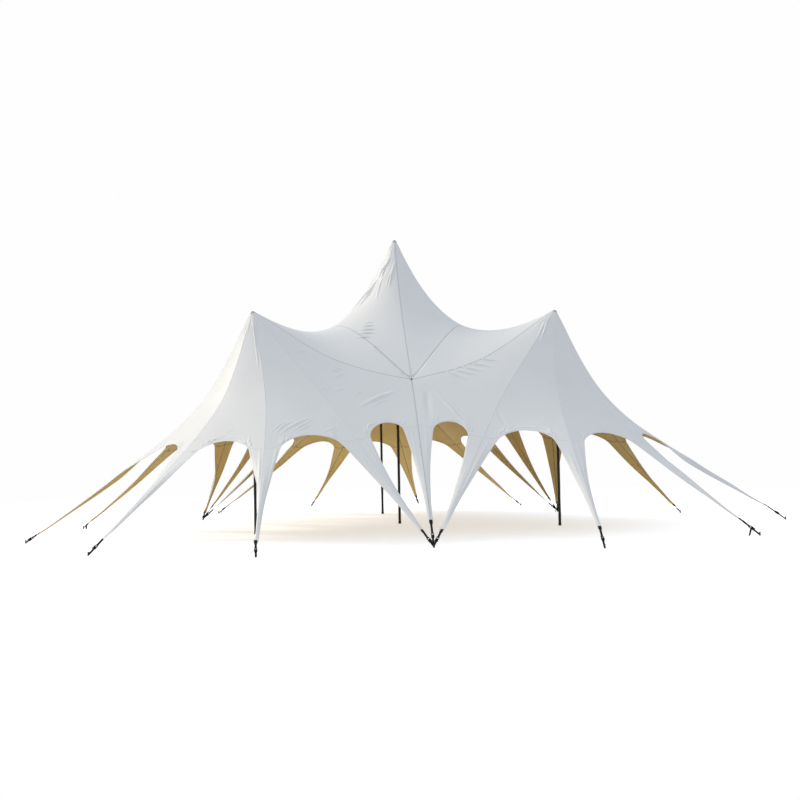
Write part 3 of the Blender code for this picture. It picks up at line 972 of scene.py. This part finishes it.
def hem_band(name, path, surface, finishes):
    path = evenly(np.array(path), BAND_STEP)
    normals = eased(np.array([on_surface(surface, p)[1] for p in path]), 2)
    inwards = eased(np.cross(normals, np.gradient(path, axis=0)), 1)
    sections = []
    for point, normal, inward in zip(path, normals, inwards):
        inward = unit(inward)
        inner, _ = on_surface(surface, point + inward * HEM_WIDTH)
        middle, _ = on_surface(surface, point + inward * HEM_WIDTH / 2)
        under = normal * CLOTH
        rise = normal * HEM_RISE
        sections.append([
            inner - under * 0.4,
            inner + rise * 0.2,
            inner * 0.85 + middle * 0.15 + rise,
            middle + rise * 1.1,
            point + rise - inward * 0.001,
            point - under / 2 - inward * 0.005,
            point - under - rise - inward * 0.001,
            middle - under - rise * 1.1,
            inner * 0.85 + middle * 0.15 - under - rise,
            inner - under - rise * 0.2,
        ])
    return swept(name, np.array(sections), finishes, second=(5, 6, 7, 8))


def make_peak_patch(name, place, surface, finish):
    """A doubled patch sewn over a peak, on the folds of the cloth."""
    rings = []
    for radius, rise in PATCH_RINGS:
        ring = []
        for number in range(PATCH_SIDES):
            spot = place + polar(radius, 360 * number / PATCH_SIDES)
            hit, normal, _, _ = surface.ray_cast(Vector((*spot, 10)), Vector((0, 0, -1)))
            if hit is None:
                hit = Vector((*spot, PEAK_TOPS[name]))
                normal = Vector((0, 0, 1))
            ring.append(np.array(hit) + np.array(normal) * rise)
        rings.append(ring)
    points = np.array(rings).reshape(-1, 3)
    faces = []
    for i in range(len(rings) - 1):
        for j in range(PATCH_SIDES):
            k = (j + 1) % PATCH_SIDES
            faces.append([i * PATCH_SIDES + j, (i + 1) * PATCH_SIDES + j, (i + 1) * PATCH_SIDES + k,
                          i * PATCH_SIDES + k])
    patch = new_object(f"peak_patch_{name}", points.tolist(), faces, [finish])
    apply(patch, "thickness", "SOLIDIFY", thickness=0.003, offset=0)
    patch.data.shade_smooth()
    return patch


def make_hub_patch(name, surface, place, finish):
    """A small dark disc where six seams meet, with an eyelet in its middle."""
    spot, normal = on_surface(surface, place)
    bpy.ops.object.select_all(action="DESELECT")
    bpy.ops.mesh.primitive_cylinder_add(vertices=28, radius=0.020, depth=0.004)
    patch = bpy.context.object
    bpy.ops.object.mode_set(mode="EDIT")
    bpy.ops.mesh.inset(thickness=0.004, depth=-0.001)
    bpy.ops.object.mode_set(mode="OBJECT")
    only(patch)
    bevel = patch.modifiers.new("soft", "BEVEL")
    bevel.width = 0.001
    bevel.segments = 2
    bpy.ops.object.modifier_apply(modifier="soft")
    bpy.ops.mesh.primitive_torus_add(major_radius=0.008, minor_radius=0.0022, location=(0, 0, 0.003),
                                     major_segments=24, minor_segments=8)
    eyelet = bpy.context.object
    for obj in (patch, eyelet):
        obj.data.materials.append(finish)
    disc = joined(f"hub_patch_{name}", [patch, eyelet])
    up = Vector(normal)
    turn = up.to_track_quat("Z", "Y").to_matrix().to_4x4()
    disc.data.transform(Matrix.Translation(Vector(spot) + up * 0.003) @ turn)
    disc.data.shade_smooth()
    return disc


def camera_axes():
    """The camera's right, up and ahead."""
    heading, pitch, roll = (math.radians(a) for a in (VIEW_HEADING, VIEW_PITCH, VIEW_ROLL))
    ahead = Vector((math.sin(heading) * math.cos(pitch), math.cos(heading) * math.cos(pitch),
                    math.sin(pitch)))
    level = Vector((math.cos(heading), -math.sin(heading), 0))
    above = level.cross(ahead)
    right = level * math.cos(roll) - above * math.sin(roll)
    up = level * math.sin(roll) + above * math.cos(roll)
    return right, up, ahead


def view_ray(across, down):
    """The way from the camera through a pixel of the photograph."""
    right, up, ahead = camera_axes()
    reach = PHOTO_SIZE * VIEW_LENS / SENSOR
    return (right * (across - PHOTO_SIZE / 2) - up * (down - PHOTO_SIZE / 2) + ahead * reach).normalized()


def make_camera():
    right, up, ahead = camera_axes()
    place = Matrix((right, up, -ahead)).transposed().to_4x4()
    place.translation = VIEW_FROM
    lens = bpy.data.cameras.new("camera")
    lens.lens = VIEW_LENS
    lens.sensor_width = SENSOR
    lens.clip_end = 500
    camera = bpy.data.objects.new("camera", lens)
    camera.matrix_world = place
    bpy.context.scene.collection.objects.link(camera)
    bpy.context.scene.camera = camera


def new_group(name, inputs, outputs):
    """An empty node group with its sockets, and its two end nodes."""
    group = bpy.data.node_groups.new(name, "ShaderNodeTree")
    for label, kind, value in inputs:
        socket = group.interface.new_socket(name=label, in_out="INPUT", socket_type=kind)
        if value is not None:
            socket.default_value = value
    for label, kind in outputs:
        group.interface.new_socket(name=label, in_out="OUTPUT", socket_type=kind)
    return group, group.nodes.new("NodeGroupInput"), group.nodes.new("NodeGroupOutput")


def node(tree, kind, settings=None, **inputs):
    """A new node with its settings, and its sockets set to values or fed by other sockets."""
    made = tree.nodes.new(kind)
    for key, value in (settings or {}).items():
        setattr(made, key, value)
    for label, value in inputs.items():
        slot = int(label[1:]) if label[1:].isdigit() else label.replace("_", " ")
        if isinstance(value, bpy.types.NodeSocket):
            tree.links.new(value, made.inputs[slot])
        else:
            made.inputs[slot].default_value = value
    return made


def weave_group():
    """Fine knitted ribs, and the shade between them. Vector is in metres."""
    group, start, end = new_group("weave", [("Vector", "NodeSocketVector", None),
                                            ("Ribs per metre", "NodeSocketFloat", 700.0)],
                                  [("Height", "NodeSocketFloat"), ("Shade", "NodeSocketFloat")])
    place = node(group, "ShaderNodeVectorMath", {"operation": "SCALE"}, Vector=start.outputs[0],
                 Scale=start.outputs[1])
    across = node(group, "ShaderNodeTexWave", {"bands_direction": "X"}, Vector=place.outputs[0],
                  Scale=0.31831, Distortion=0.6, Detail=1.0)
    down = node(group, "ShaderNodeTexWave", {"bands_direction": "Y"}, Vector=place.outputs[0],
                Scale=0.31831, Distortion=0.6, Detail=1.0)
    knit = node(group, "ShaderNodeMath", {"operation": "MULTIPLY"}, _0=across.outputs["Fac"],
                _1=down.outputs["Fac"])
    shade = node(group, "ShaderNodeMapRange", {}, Value=knit.outputs[0], To_Min=0.965, To_Max=1.0)
    group.links.new(knit.outputs[0], end.inputs[0])
    group.links.new(shade.outputs[0], end.inputs[1])
    return group


def soiling_group():
    """Faint clouds of dirt with a few streaks, as a mask from none to full."""
    group, start, end = new_group("soiling", [("Vector", "NodeSocketVector", None),
                                              ("Size", "NodeSocketFloat", 1.2)],
                                  [("Mask", "NodeSocketFloat")])
    clouds = node(group, "ShaderNodeTexNoise", {}, Vector=start.outputs[0], Scale=start.outputs[1],
                  Detail=6.0, Roughness=0.62)
    speck = node(group, "ShaderNodeTexNoise", {}, Vector=start.outputs[0], Scale=38.0, Detail=3.0)
    both = node(group, "ShaderNodeMath", {"operation": "MULTIPLY"}, _0=clouds.outputs[0],
                _1=speck.outputs[0])
    mask = node(group, "ShaderNodeMapRange", {}, Value=both.outputs[0], From_Min=0.20, From_Max=0.42)
    group.links.new(mask.outputs[0], end.inputs[0])
    return group


def stitch_group():
    """Two rows of stitches along a band: run in metres along X, width along Y."""
    group, start, end = new_group("stitches", [("Vector", "NodeSocketVector", None),
                                               ("Row", "NodeSocketFloat", 0.007),
                                               ("Gap", "NodeSocketFloat", 0.012)],
                                  [("Mask", "NodeSocketFloat")])
    axes = node(group, "ShaderNodeSeparateXYZ", {}, Vector=start.outputs[0])
    dash = node(group, "ShaderNodeMath", {"operation": "PINGPONG"}, _0=axes.outputs[0], _1=0.0022)
    long = node(group, "ShaderNodeMath", {"operation": "GREATER_THAN"}, _0=dash.outputs[0], _1=0.0007)
    past = node(group, "ShaderNodeMath", {"operation": "SUBTRACT"}, _0=axes.outputs[1],
                _1=start.outputs[1])
    rows = node(group, "ShaderNodeMath", {"operation": "PINGPONG"}, _0=past.outputs[0],
                _1=start.outputs[2])
    slim = node(group, "ShaderNodeMath", {"operation": "LESS_THAN"}, _0=rows.outputs[0], _1=0.0006)
    mask = node(group, "ShaderNodeMath", {"operation": "MULTIPLY"}, _0=long.outputs[0],
                _1=slim.outputs[0])
    group.links.new(mask.outputs[0], end.inputs[0])
    return group


def wear_group():
    """Scratches and rubbed patches on painted metal, as a mask."""
    group, start, end = new_group("wear", [("Vector", "NodeSocketVector", None),
                                           ("Amount", "NodeSocketFloat", 0.5)],
                                  [("Mask", "NodeSocketFloat")])
    long = node(group, "ShaderNodeMapping", {}, Vector=start.outputs[0], Scale=(90.0, 90.0, 7.0))
    lines = node(group, "ShaderNodeTexNoise", {}, Vector=long.outputs[0], Scale=1.0, Detail=4.0,
                 Roughness=0.7)
    spots = node(group, "ShaderNodeTexNoise", {}, Vector=start.outputs[0], Scale=26.0, Detail=5.0)
    both = node(group, "ShaderNodeMath", {"operation": "MULTIPLY"}, _0=lines.outputs[0],
                _1=spots.outputs[0])
    least = node(group, "ShaderNodeMapRange", {}, Value=start.outputs[1], To_Min=0.46, To_Max=0.26)
    mask = node(group, "ShaderNodeMapRange", {}, Value=both.outputs[0], From_Max=0.5)
    group.links.new(least.outputs[0], mask.inputs["From Min"])
    group.links.new(mask.outputs[0], end.inputs[0])
    return group


def new_material(name, roughness, **constants):
    """A material with its shader, and the constants that sit on the shader's own sockets."""
    material = bpy.data.materials.new(name)
    material.use_nodes = True
    tree = material.node_tree
    shader = tree.nodes["Principled BSDF"]
    shader.inputs["Roughness"].default_value = roughness
    for label, value in constants.items():
        shader.inputs[label.replace("_", " ")].default_value = value
    return material, tree, shader


def mixed(tree, mask, plain, changed):
    """A colour that goes from plain to changed with a mask."""
    mix = node(tree, "ShaderNodeMix", {"data_type": "RGBA"}, _0=mask)
    for slot, colour in ((6, plain), (7, changed)):
        if isinstance(colour, bpy.types.NodeSocket):
            tree.links.new(colour, mix.inputs[slot])
        else:
            mix.inputs[slot].default_value = (*colour, 1)
    return mix.outputs[2]


def placed(tree, group, **inputs):
    """A node group placed in a material."""
    return node(tree, "ShaderNodeGroup", {"node_tree": group}, **inputs)


def bumped(tree, shader, height, distance, strength=1.0):
    bump = node(tree, "ShaderNodeBump", {}, Height=height, Distance=distance, Strength=strength)
    tree.links.new(bump.outputs[0], shader.inputs["Normal"])


def cloth_material(name, groups, clean, soiled, stitched=None):
    """Knitted stretch cloth with a slight sheen, soiled in clouds, and sewn where it is a band."""
    material, tree, shader = new_material(name, 0.52, Sheen_Weight=0.12, Sheen_Roughness=0.4)
    cut = node(tree, "ShaderNodeUVMap", {"uv_map": "cloth"}).outputs[0]
    space = node(tree, "ShaderNodeTexCoord").outputs["Object"]
    dirt = placed(tree, groups["soiling"], Vector=space)
    knit = placed(tree, groups["weave"], Vector=cut)
    colour = mixed(tree, dirt.outputs[0], clean, soiled)
    # The shade between the knitted ribs is painted shade, multiplied into the colour.
    ribs = node(tree, "ShaderNodeMix", {"data_type": "RGBA", "blend_type": "MULTIPLY"}, _0=1.0)
    tree.links.new(colour, ribs.inputs[6])
    tree.links.new(knit.outputs[1], ribs.inputs[7])
    colour = ribs.outputs[2]
    height = knit.outputs[0]
    if stitched:
        sewn = placed(tree, groups["stitches"], Vector=cut)
        colour = mixed(tree, sewn.outputs[0], colour, stitched)
        height = node(tree, "ShaderNodeMath", {"operation": "SUBTRACT"}, _0=height,
                      _1=sewn.outputs[0]).outputs[0]
    tree.links.new(colour, shader.inputs["Base Color"])
    rough = node(tree, "ShaderNodeMapRange", {}, Value=dirt.outputs[0], To_Min=0.5, To_Max=0.66)
    tree.links.new(rough.outputs[0], shader.inputs["Roughness"])
    bumped(tree, shader, height, 0.0004, 0.35)
    return material


def webbing_material(groups):
    """Black polyester webbing with ribs across it, dusty and a little frayed in colour."""
    material, tree, shader = new_material("black_webbing", 0.85, Specular_IOR_Level=0.15)
    cut = node(tree, "ShaderNodeUVMap", {"uv_map": "cloth"}).outputs[0]
    space = node(tree, "ShaderNodeTexCoord").outputs["Object"]
    dust = placed(tree, groups["soiling"], Vector=space, Size=14.0)
    knit = placed(tree, groups["weave"], Vector=cut, Ribs_per_metre=1600.0)
    sewn = placed(tree, groups["stitches"], Vector=cut)
    colour = mixed(tree, dust.outputs[0], (0.010, 0.010, 0.011), (0.030, 0.028, 0.025))
    colour = mixed(tree, sewn.outputs[0], colour, (0.07, 0.07, 0.07))
    tree.links.new(colour, shader.inputs["Base Color"])
    bumped(tree, shader, knit.outputs[0], 0.0006, 0.6)
    return material


def metal_material(name, groups, paint, worn, roughness, metallic, amount):
    """Painted or plated metal, rubbed through to a worn colour, dusty near the ground."""
    material, tree, shader = new_material(name, roughness, Metallic=metallic)
    space = node(tree, "ShaderNodeTexCoord").outputs["Object"]
    rubbed = placed(tree, groups["wear"], Vector=space, Amount=amount)
    dust = placed(tree, groups["soiling"], Vector=space, Size=9.0)
    height = node(tree, "ShaderNodeSeparateXYZ", {}, Vector=space).outputs[2]
    low = node(tree, "ShaderNodeMapRange", {}, Value=height, From_Min=0.35, From_Max=0.0)
    dusty = node(tree, "ShaderNodeMath", {"operation": "MULTIPLY"}, _0=dust.outputs[0],
                 _1=low.outputs[0])
    colour = mixed(tree, rubbed.outputs[0], paint, worn)
    colour = mixed(tree, dusty.outputs[0], colour, (0.08, 0.073, 0.06))
    tree.links.new(colour, shader.inputs["Base Color"])
    rough = node(tree, "ShaderNodeMapRange", {}, Value=rubbed.outputs[0], To_Min=roughness,
                 To_Max=roughness + 0.2)
    tree.links.new(rough.outputs[0], shader.inputs["Roughness"])
    bumped(tree, shader, rubbed.outputs[0], -0.0003, 0.5)
    return material


def make_finishes():
    """Every material of the tent, by name."""
    groups = {"weave": weave_group(), "soiling": soiling_group(), "stitches": stitch_group(),
              "wear": wear_group()}
    return {
        "white": cloth_material("white_cloth", groups, WHITE, WHITE_SOILED),
        "tan": cloth_material("tan_lining", groups, TAN, TAN_SOILED),
        "white_seam": cloth_material("white_seam", groups, SEAM_WHITE, WHITE_SOILED, SEAM_THREAD),
        # Joint seams: grey that is painted shade along the seam, with dirt and stitches on it.
        "painted_shade_seam": cloth_material("painted_shade_seam", groups, JOINT_SHADE_GREY, JOINT_SHADE_SOILED, SEAM_THREAD),
        "tan_tape": cloth_material("tan_tape", groups, TAPE_BROWN, TAPE_SOILED, TAN),
        "white_hem": cloth_material("white_hem", groups, WHITE, WHITE_SOILED, SEAM_THREAD),
        "patch": cloth_material("patch_cloth", groups, PATCH_GREY, PATCH_SOILED, SEAM_THREAD),
        "webbing": webbing_material(groups),
        "mast": metal_material("mast_paint", groups, (0.011, 0.011, 0.012), (0.10, 0.10, 0.10), 0.42,
                               0.0, 0.35),
        "ratchet": metal_material("ratchet_steel", groups, (0.014, 0.014, 0.015), (0.14, 0.135, 0.13),
                                  0.38, 0.85, 0.6),
        "stake": metal_material("stake_steel", groups, (0.05, 0.05, 0.05), (0.25, 0.20, 0.16), 0.5,
                                0.8, 0.7),
    }


def shaped(kind, **settings):
    """A new primitive alone, ready to be shaped."""
    bpy.ops.object.select_all(action="DESELECT")
    getattr(bpy.ops.mesh, f"primitive_{kind}_add")(**settings)
    return bpy.context.object


def bevelled(obj, width, segments=2):
    bpy.ops.object.transform_apply(location=False, rotation=False, scale=True)
    apply(obj, "edges", "BEVEL", width=width, segments=segments, limit_method="ANGLE")
    return obj


def block(place, size, bevel):
    obj = shaped("cube", size=1, location=place, scale=size)
    return bevelled(obj, bevel)


def cross_bar(place, radius, length, vertices=14):
    """A round bar across the strap, with bevelled ends."""
    obj = shaped("cylinder", vertices=vertices, radius=radius, depth=length, location=place,
                 rotation=(math.pi / 2, 0, 0))
    return bevelled(obj, radius * 0.18, 1)


def toothed_wheel(place):
    """A ratchet wheel: every other side face of a short cylinder drawn out into a tooth."""
    wheel = shaped("cylinder", vertices=24, radius=0.0125, depth=0.003, location=place,
                   rotation=(math.pi / 2, 0, 0))
    bpy.ops.object.mode_set(mode="EDIT")
    bpy.ops.mesh.select_all(action="DESELECT")
    mesh = bmesh.from_edit_mesh(wheel.data)
    mesh.faces.ensure_lookup_table()
    sides = [face for face in mesh.faces if len(face.verts) == 4]
    sides.sort(key=lambda face: math.atan2(face.normal.y, face.normal.x))
    for face in sides[::2]:
        face.select_set(True)
    bmesh.update_edit_mesh(wheel.data)
    bpy.ops.mesh.extrude_region_shrink_fatten(TRANSFORM_OT_shrink_fatten={"value": 0.0034})
    bpy.ops.object.mode_set(mode="OBJECT")
    return wheel


def make_ratchet(steel):
    """A strap ratchet along +X at the origin: frame, spool, wheels, pawl, handle and bolts."""
    parts = []
    for side in (-1, 1):
        parts.append(block((0, side * 0.0245, 0), (0.104, 0.0026, 0.020), 0.001))
        parts.append(toothed_wheel((-0.006, side * 0.0213, 0.004)))
        arm = block((0.020, side * 0.0272, 0.0125), (0.078, 0.0022, 0.012), 0.0009)
        parts.append(arm)
    parts.append(block((0.012, 0, -0.0085), (0.062, 0.048, 0.0024), 0.001))
    parts.append(cross_bar((-0.006, 0, 0.004), 0.0062, 0.058))
    parts.append(cross_bar((-0.045, 0, 0), 0.0042, 0.060))
    parts.append(cross_bar((0.045, 0, 0), 0.0042, 0.060))
    parts.append(block((0.060, 0, 0.0150), (0.016, 0.0575, 0.0085), 0.003))
    parts.append(block((0.018, 0, 0.0120), (0.010, 0.046, 0.0035), 0.001))
    for side in (-1, 1):
        parts.append(cross_bar((-0.045, side * 0.0295, 0), 0.0065, 0.003, 6))
    for part in parts:
        part.data.materials.append(steel)
    ratchet = joined("ratchet", parts)
    only(ratchet)
    bpy.ops.object.transform_apply()
    bpy.ops.object.shade_smooth_by_angle(angle=math.radians(35))
    return ratchet


def make_stake(steel):
    """A round ground stake with a flattened head, standing on the ground at the origin."""
    stake = shaped("cylinder", vertices=20, radius=STAKE_RADIUS, depth=STAKE_HEIGHT,
                   location=(0, 0, STAKE_HEIGHT / 2))
    bpy.ops.object.mode_set(mode="EDIT")
    bpy.ops.mesh.select_all(action="DESELECT")
    mesh = bmesh.from_edit_mesh(stake.data)
    for face in mesh.faces:
        if face.normal.z > 0.9:
            face.select_set(True)
    bmesh.update_edit_mesh(stake.data)
    for rise, wide in ((-0.0085, 1.0), (0.0012, 1.7), (0.0045, 1.04), (0.0028, 0.72)):
        bpy.ops.mesh.extrude_region_move(TRANSFORM_OT_translate={"value": (0, 0, rise)})
        bpy.ops.transform.resize(value=(wide, wide, 1))
    bpy.ops.object.mode_set(mode="OBJECT")
    collar = shaped("torus", major_radius=STAKE_RADIUS + 0.0015, minor_radius=0.0025,
                    major_segments=24, minor_segments=8, location=(0, 0, 0.012))
    for part in (stake, collar):
        part.data.materials.append(steel)
    whole = joined("stake", [stake, collar])
    only(whole)
    bpy.ops.object.transform_apply()
    bpy.ops.object.shade_smooth_by_angle(angle=math.radians(35))
    return whole


def make_ring(steel):
    """A triangular wire ring, lying flat, point towards +X."""
    ring = shaped("torus", major_radius=0.021, minor_radius=0.0028, major_segments=24,
                  minor_segments=8)
    for vertex in ring.data.vertices:
        if vertex.co.x < 0:
            vertex.co.y *= 1 + 7 * -vertex.co.x
            vertex.co.x *= 0.55
    ring.data.materials.append(steel)
    ring.data.shade_smooth()
    ring.name = "ring"
    return ring


def copied(master, place):
    """A copy of a master piece with its own mesh, moved to its place."""
    copy = master.copy()
    copy.data = master.data.copy()
    bpy.context.scene.collection.objects.link(copy)
    copy.data.transform(place)
    return copy


def webbing(path, across, finish, width=WEB_WIDTH, thick=WEB_THICK):
    """Flat webbing along a path, with rounded edges."""
    path = np.array(path, float)
    aheads = np.gradient(path, axis=0)
    profile = ((-1, 0), (-0.93, 1), (0, 1.1), (0.93, 1), (1, 0), (0.93, -1), (0, -1.1), (-0.93, -1))
    sections = []
    for point, ahead in zip(path, aheads):
        up = unit(np.cross(ahead, across))
        sections.append([point + across * width / 2 * x + up * thick / 2 * z for x, z in profile])
    band = swept("webbing", np.array(sections)[:, ::-1], [finish])
    band.data.shade_smooth()
    return band


def strap_parts(leg, origin, stake, strap, slope, layer, masters, finishes):
    """A leg's patch, ring, webbing and ratchet, along the line from its tip to its stake."""
    plan, height = leg_tip(origin, stake, strap, slope)
    tip = np.array([*plan, height])
    foot = np.array([*(stake + unit(stake - origin) * WEB_PAST), WEB_FOOT + WEB_LAYER * layer])
    ahead = unit(foot - tip)
    level = unit(np.array([-ahead[1], ahead[0], 0]))
    roll = math.radians(STRAP_ROLL) * ahead[0] / np.linalg.norm(ahead[:2])
    across = level * math.cos(roll) + np.cross(ahead, level) * math.sin(roll)
    up = np.cross(ahead, across)
    middle = (tip + foot) / 2
    turn = Matrix((ahead, across, up)).transposed().to_4x4()
    half = np.linalg.norm(foot - tip) / 2
    web = finishes["webbing"]

    def line(points, **sizes):
        return webbing([middle + ahead * x + up * z for x, z in points], across, web, **sizes)

    parts = [copied(masters["ratchet"], Matrix.Translation(middle) @ turn)]
    parts.append(copied(masters["ring"], Matrix.Translation(tip + ahead * 0.012) @ turn))
    sewn = [middle - ahead * (half + past) for past in (0.085, 0.04, 0.004)]
    turned = math.radians(TURNED_LEGS.get(leg, 0))
    tip_across = level * math.cos(turned) + np.cross(ahead, level) * math.sin(turned)
    parts.append(webbing(sewn, tip_across, web, width=0.058, thick=0.009))
    parts.append(line([(-half - 0.006, 0.003), (-half + 0.012, 0.0045), (-half + 0.03, 0.003),
                       (-half + 0.05, 0.0012)], width=0.036))
    parts.append(line([(-half + 0.016, 0.0034), (-half + 0.05, 0.002), (-0.07, 0.0015),
                       (-0.045, 0.0058), (-0.03, 0.004)]))
    parts.append(line([(-half + 0.016, -0.0034), (-half + 0.05, -0.0014), (-0.07, -0.0015),
                       (-0.045, -0.0058)]))
    parts.append(line([(-0.010, 0.0115), (0.012, 0.007), (0.045, 0.0058), (0.07, 0.0015),
                       (half - 0.03, 0.0018), (half - 0.012, 0.0018)]))
    parts.append(line([(0.045, -0.0058), (0.07, -0.0015), (half - 0.03, -0.0018),
                       (half - 0.012, -0.0018)]))
    if leg in TAILS:
        length, bend = TAILS[leg]
        parts.append(tail(middle, ahead, across, up, length, math.radians(bend), web))
    return parts


def tail(middle, ahead, across, up, length, bend, web):
    """The spare end of a strap, out over the ratchet and down to the ground in an S."""
    side = unit(across * math.sin(bend) + ahead * math.cos(bend))
    side = unit(side * np.array([1, 1, 0]))
    start = middle + up * 0.014 + ahead * 0.012
    drop = start[2] - 0.004
    points = []
    for share in np.linspace(0, 1, 12):
        out = length * share
        sink = drop * (3 * share ** 2 - 2 * share ** 3)
        lift = 0.022 * math.sin(math.pi * share) * (1 - share)
        points.append(start + side * out * 0.8 + np.array([0, 0, lift - sink]))
    flat = unit(np.cross(side, (0, 0, 1)))
    return webbing(points, flat, web, width=WEB_WIDTH * 0.9)


def make_anchor(name, stake, straps, masters, finishes):
    """A stake with the straps of its legs, in place of the plain anchor."""
    parts = [copied(masters["stake"], Matrix.Translation((*stake, 0)))]
    for layer, (leg, origin, strap, slope) in enumerate(straps):
        parts += strap_parts(leg, origin, stake, strap, slope, layer, masters, finishes)
    loop = shaped("torus", major_radius=STAKE_RADIUS + 0.004, minor_radius=0.0035, major_segments=24,
                  minor_segments=8, location=(*stake, WEB_FOOT + 0.004))
    loop.scale = (1, 1, 2.0)
    only(loop)
    bpy.ops.object.transform_apply()
    loop.data.materials.append(finishes["webbing"])
    anchor = joined(f"strap_and_stake_{name}", [*parts, loop])
    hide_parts(name)
    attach(anchor, "root")
    return anchor


def make_anchors(finishes):
    masters = {
        "ratchet": make_ratchet(finishes["ratchet"]),
        "ring": make_ring(finishes["ratchet"]),
        "stake": make_stake(finishes["stake"]),
    }
    centre = np.zeros(2)
    shared = {side: [(f"middle_leg_{side}", centre, strap, MIDDLE_SLOPE)]
              for side, (_, _, strap) in SHARED.items()}
    for star, (_, _, straps) in STARS.items():
        mast, feet = star_feet(star)
        before, after = SIDES[star]
        shared[before].append((f"{star}_leg_1", mast, straps[0], SHARED_SLOPE))
        shared[after].append((f"{star}_leg_6", mast, straps[5], SHARED_SLOPE))
        for number in range(2, 6):
            strap = (f"{star}_leg_{number}", mast, straps[number - 1], OUTER_SLOPE)
            make_anchor(f"{star}_anchor_{number}", feet[number - 1], [strap], masters, finishes)
    for side, stake in SHARED_STAKES.items():
        make_anchor(f"shared_anchor_{side}", stake, shared[side], masters, finishes)
    for master in masters.values():
        bpy.data.objects.remove(master)


def make_stage():
    """A pale floor that fades out into a white room, with soft light from the left."""
    floor = shaped("circle", vertices=96, radius=FLOOR_RADIUS, fill_type="NGON",
                   location=(0, 0, FLOOR_BELOW))
    floor.name = "floor"
    only(floor)
    bpy.ops.object.transform_apply()
    material, tree, shader = new_material("pale_floor", 0.9)
    shader.inputs["Base Color"].default_value = (*FLOOR_COLOUR, 1)
    shader.inputs["Emission Color"].default_value = (1, 1, 1, 1)
    seen = node(tree, "ShaderNodeLightPath").outputs["Is Camera Ray"]
    glow = node(tree, "ShaderNodeMath", {"operation": "MULTIPLY"}, _0=seen, _1=FLOOR_GLOW)
    tree.links.new(glow.outputs[0], shader.inputs["Emission Strength"])
    space = node(tree, "ShaderNodeTexCoord").outputs["Object"]
    away = node(tree, "ShaderNodeVectorMath", {"operation": "LENGTH"}, Vector=space).outputs["Value"]
    fade = node(tree, "ShaderNodeMapRange", {"interpolation_type": "SMOOTHSTEP"}, Value=away,
                From_Min=FLOOR_FADE[0], From_Max=FLOOR_FADE[1], To_Min=1.0, To_Max=0.0)
    tree.links.new(fade.outputs[0], shader.inputs["Alpha"])
    floor.data.materials.append(material)
    world = bpy.data.worlds.new("white_room")
    bpy.context.scene.world = world
    world.use_nodes = True
    tree = world.node_tree
    lit = tree.nodes["Background"]
    lit.inputs["Color"].default_value = (*SKY_COLOUR, 1)
    way = node(tree, "ShaderNodeTexCoord").outputs["Generated"]
    height = node(tree, "ShaderNodeSeparateXYZ", {}, Vector=way).outputs["Z"]
    bright = node(tree, "ShaderNodeMapRange", {}, Value=height, From_Min=0.0, From_Max=1.0,
                  To_Min=SKY_LOW, To_Max=SKY_HIGH)
    tree.links.new(bright.outputs[0], lit.inputs["Strength"])
    seen = node(tree, "ShaderNodeBackground", {}, Color=(*BACKDROP, 1), Strength=1.0)
    path = node(tree, "ShaderNodeLightPath")
    mix = node(tree, "ShaderNodeMixShader", {}, _0=path.outputs["Is Camera Ray"], _1=lit.outputs[0],
               _2=seen.outputs[0])
    tree.links.new(mix.outputs[0], tree.nodes["World Output"].inputs[0])
    lamp = bpy.data.lights.new("sun", "SUN")
    lamp.energy = SUN_STRENGTH
    lamp.angle = math.radians(SUN_SOFTNESS)
    lamp.color = SUN_COLOUR
    sun = bpy.data.objects.new("sun", lamp)
    sun.rotation_euler = Vector(SUN_WAY).to_track_quat("-Z", "Y").to_euler()
    bpy.context.scene.collection.objects.link(sun)
    bpy.context.scene.view_settings.view_transform = "Standard"


def declare_sheet(star):
    """Looks up the sheet's piece number, and does nothing with it."""
    piece = PIECES.index(star)


def hide_plain_cloth(star):
    """The sheet stands for the plain panels and legs of its part of the canopy."""
    names = [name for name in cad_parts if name.endswith("_panel") or "_leg_" in name]
    own = [name for name in names if name.startswith(star)]
    if star in SIDES:
        own.append(f"middle_leg_{SIDES[star][1]}")
    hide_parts(*own)


def main():
    finishes = make_finishes()
    net = Net()
    for star in STARS:
        star_net(net, star)
    centre_net(net)
    settled = net.settle()
    cells = [cell for piece, grid in net.cloths for cell in cloth_cells(piece, grid, settled)]
    places = curl_legs(net, settled)
    sheets, edge = make_canopy(net, places, cells, (finishes["white"], finishes["tan"]))
    surface = surface_of(*sheets.values())
    seams = make_seams(net, places, surface,
                       [finishes[name] for name in ("white_seam", "painted_shade_seam", "tan_tape")])
    hems = make_hems(edge, surface, (finishes["white_hem"], finishes["tan"]))
    peaks = dict(zip(("centre", *STARS), peak_places()))
    extras = []
    for star, sheet in sheets.items():
        patch = make_peak_patch(star, peaks[star], surface, finishes["patch"])
        apply(sheet, "thickness", "SOLIDIFY", thickness=CLOTH, offset=-1, material_offset=1)
        sheet.data.shade_smooth()
        bands = [piece for piece in (seams.get(star), hems.get(star), patch) if piece]
        for piece in (sheet, *bands):
            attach(piece, "root")
        hide_plain_cloth(star)
        declare_sheet(star)
    for side, low in LOW_POINTS.items():
        hub = places[net.index[tuple(round(float(value), 4) for value in low)]]
        disc = make_hub_patch(side, surface, hub, finishes["webbing"])
        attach(disc, "root")
    make_anchors(finishes)
    for name in ("centre_mast", "left_mast", "right_mast", "rear_mast"):
        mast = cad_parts[name]
        for slot in mast.material_slots:
            slot.material = finishes["mast"]


main()
make_stage()
make_camera()
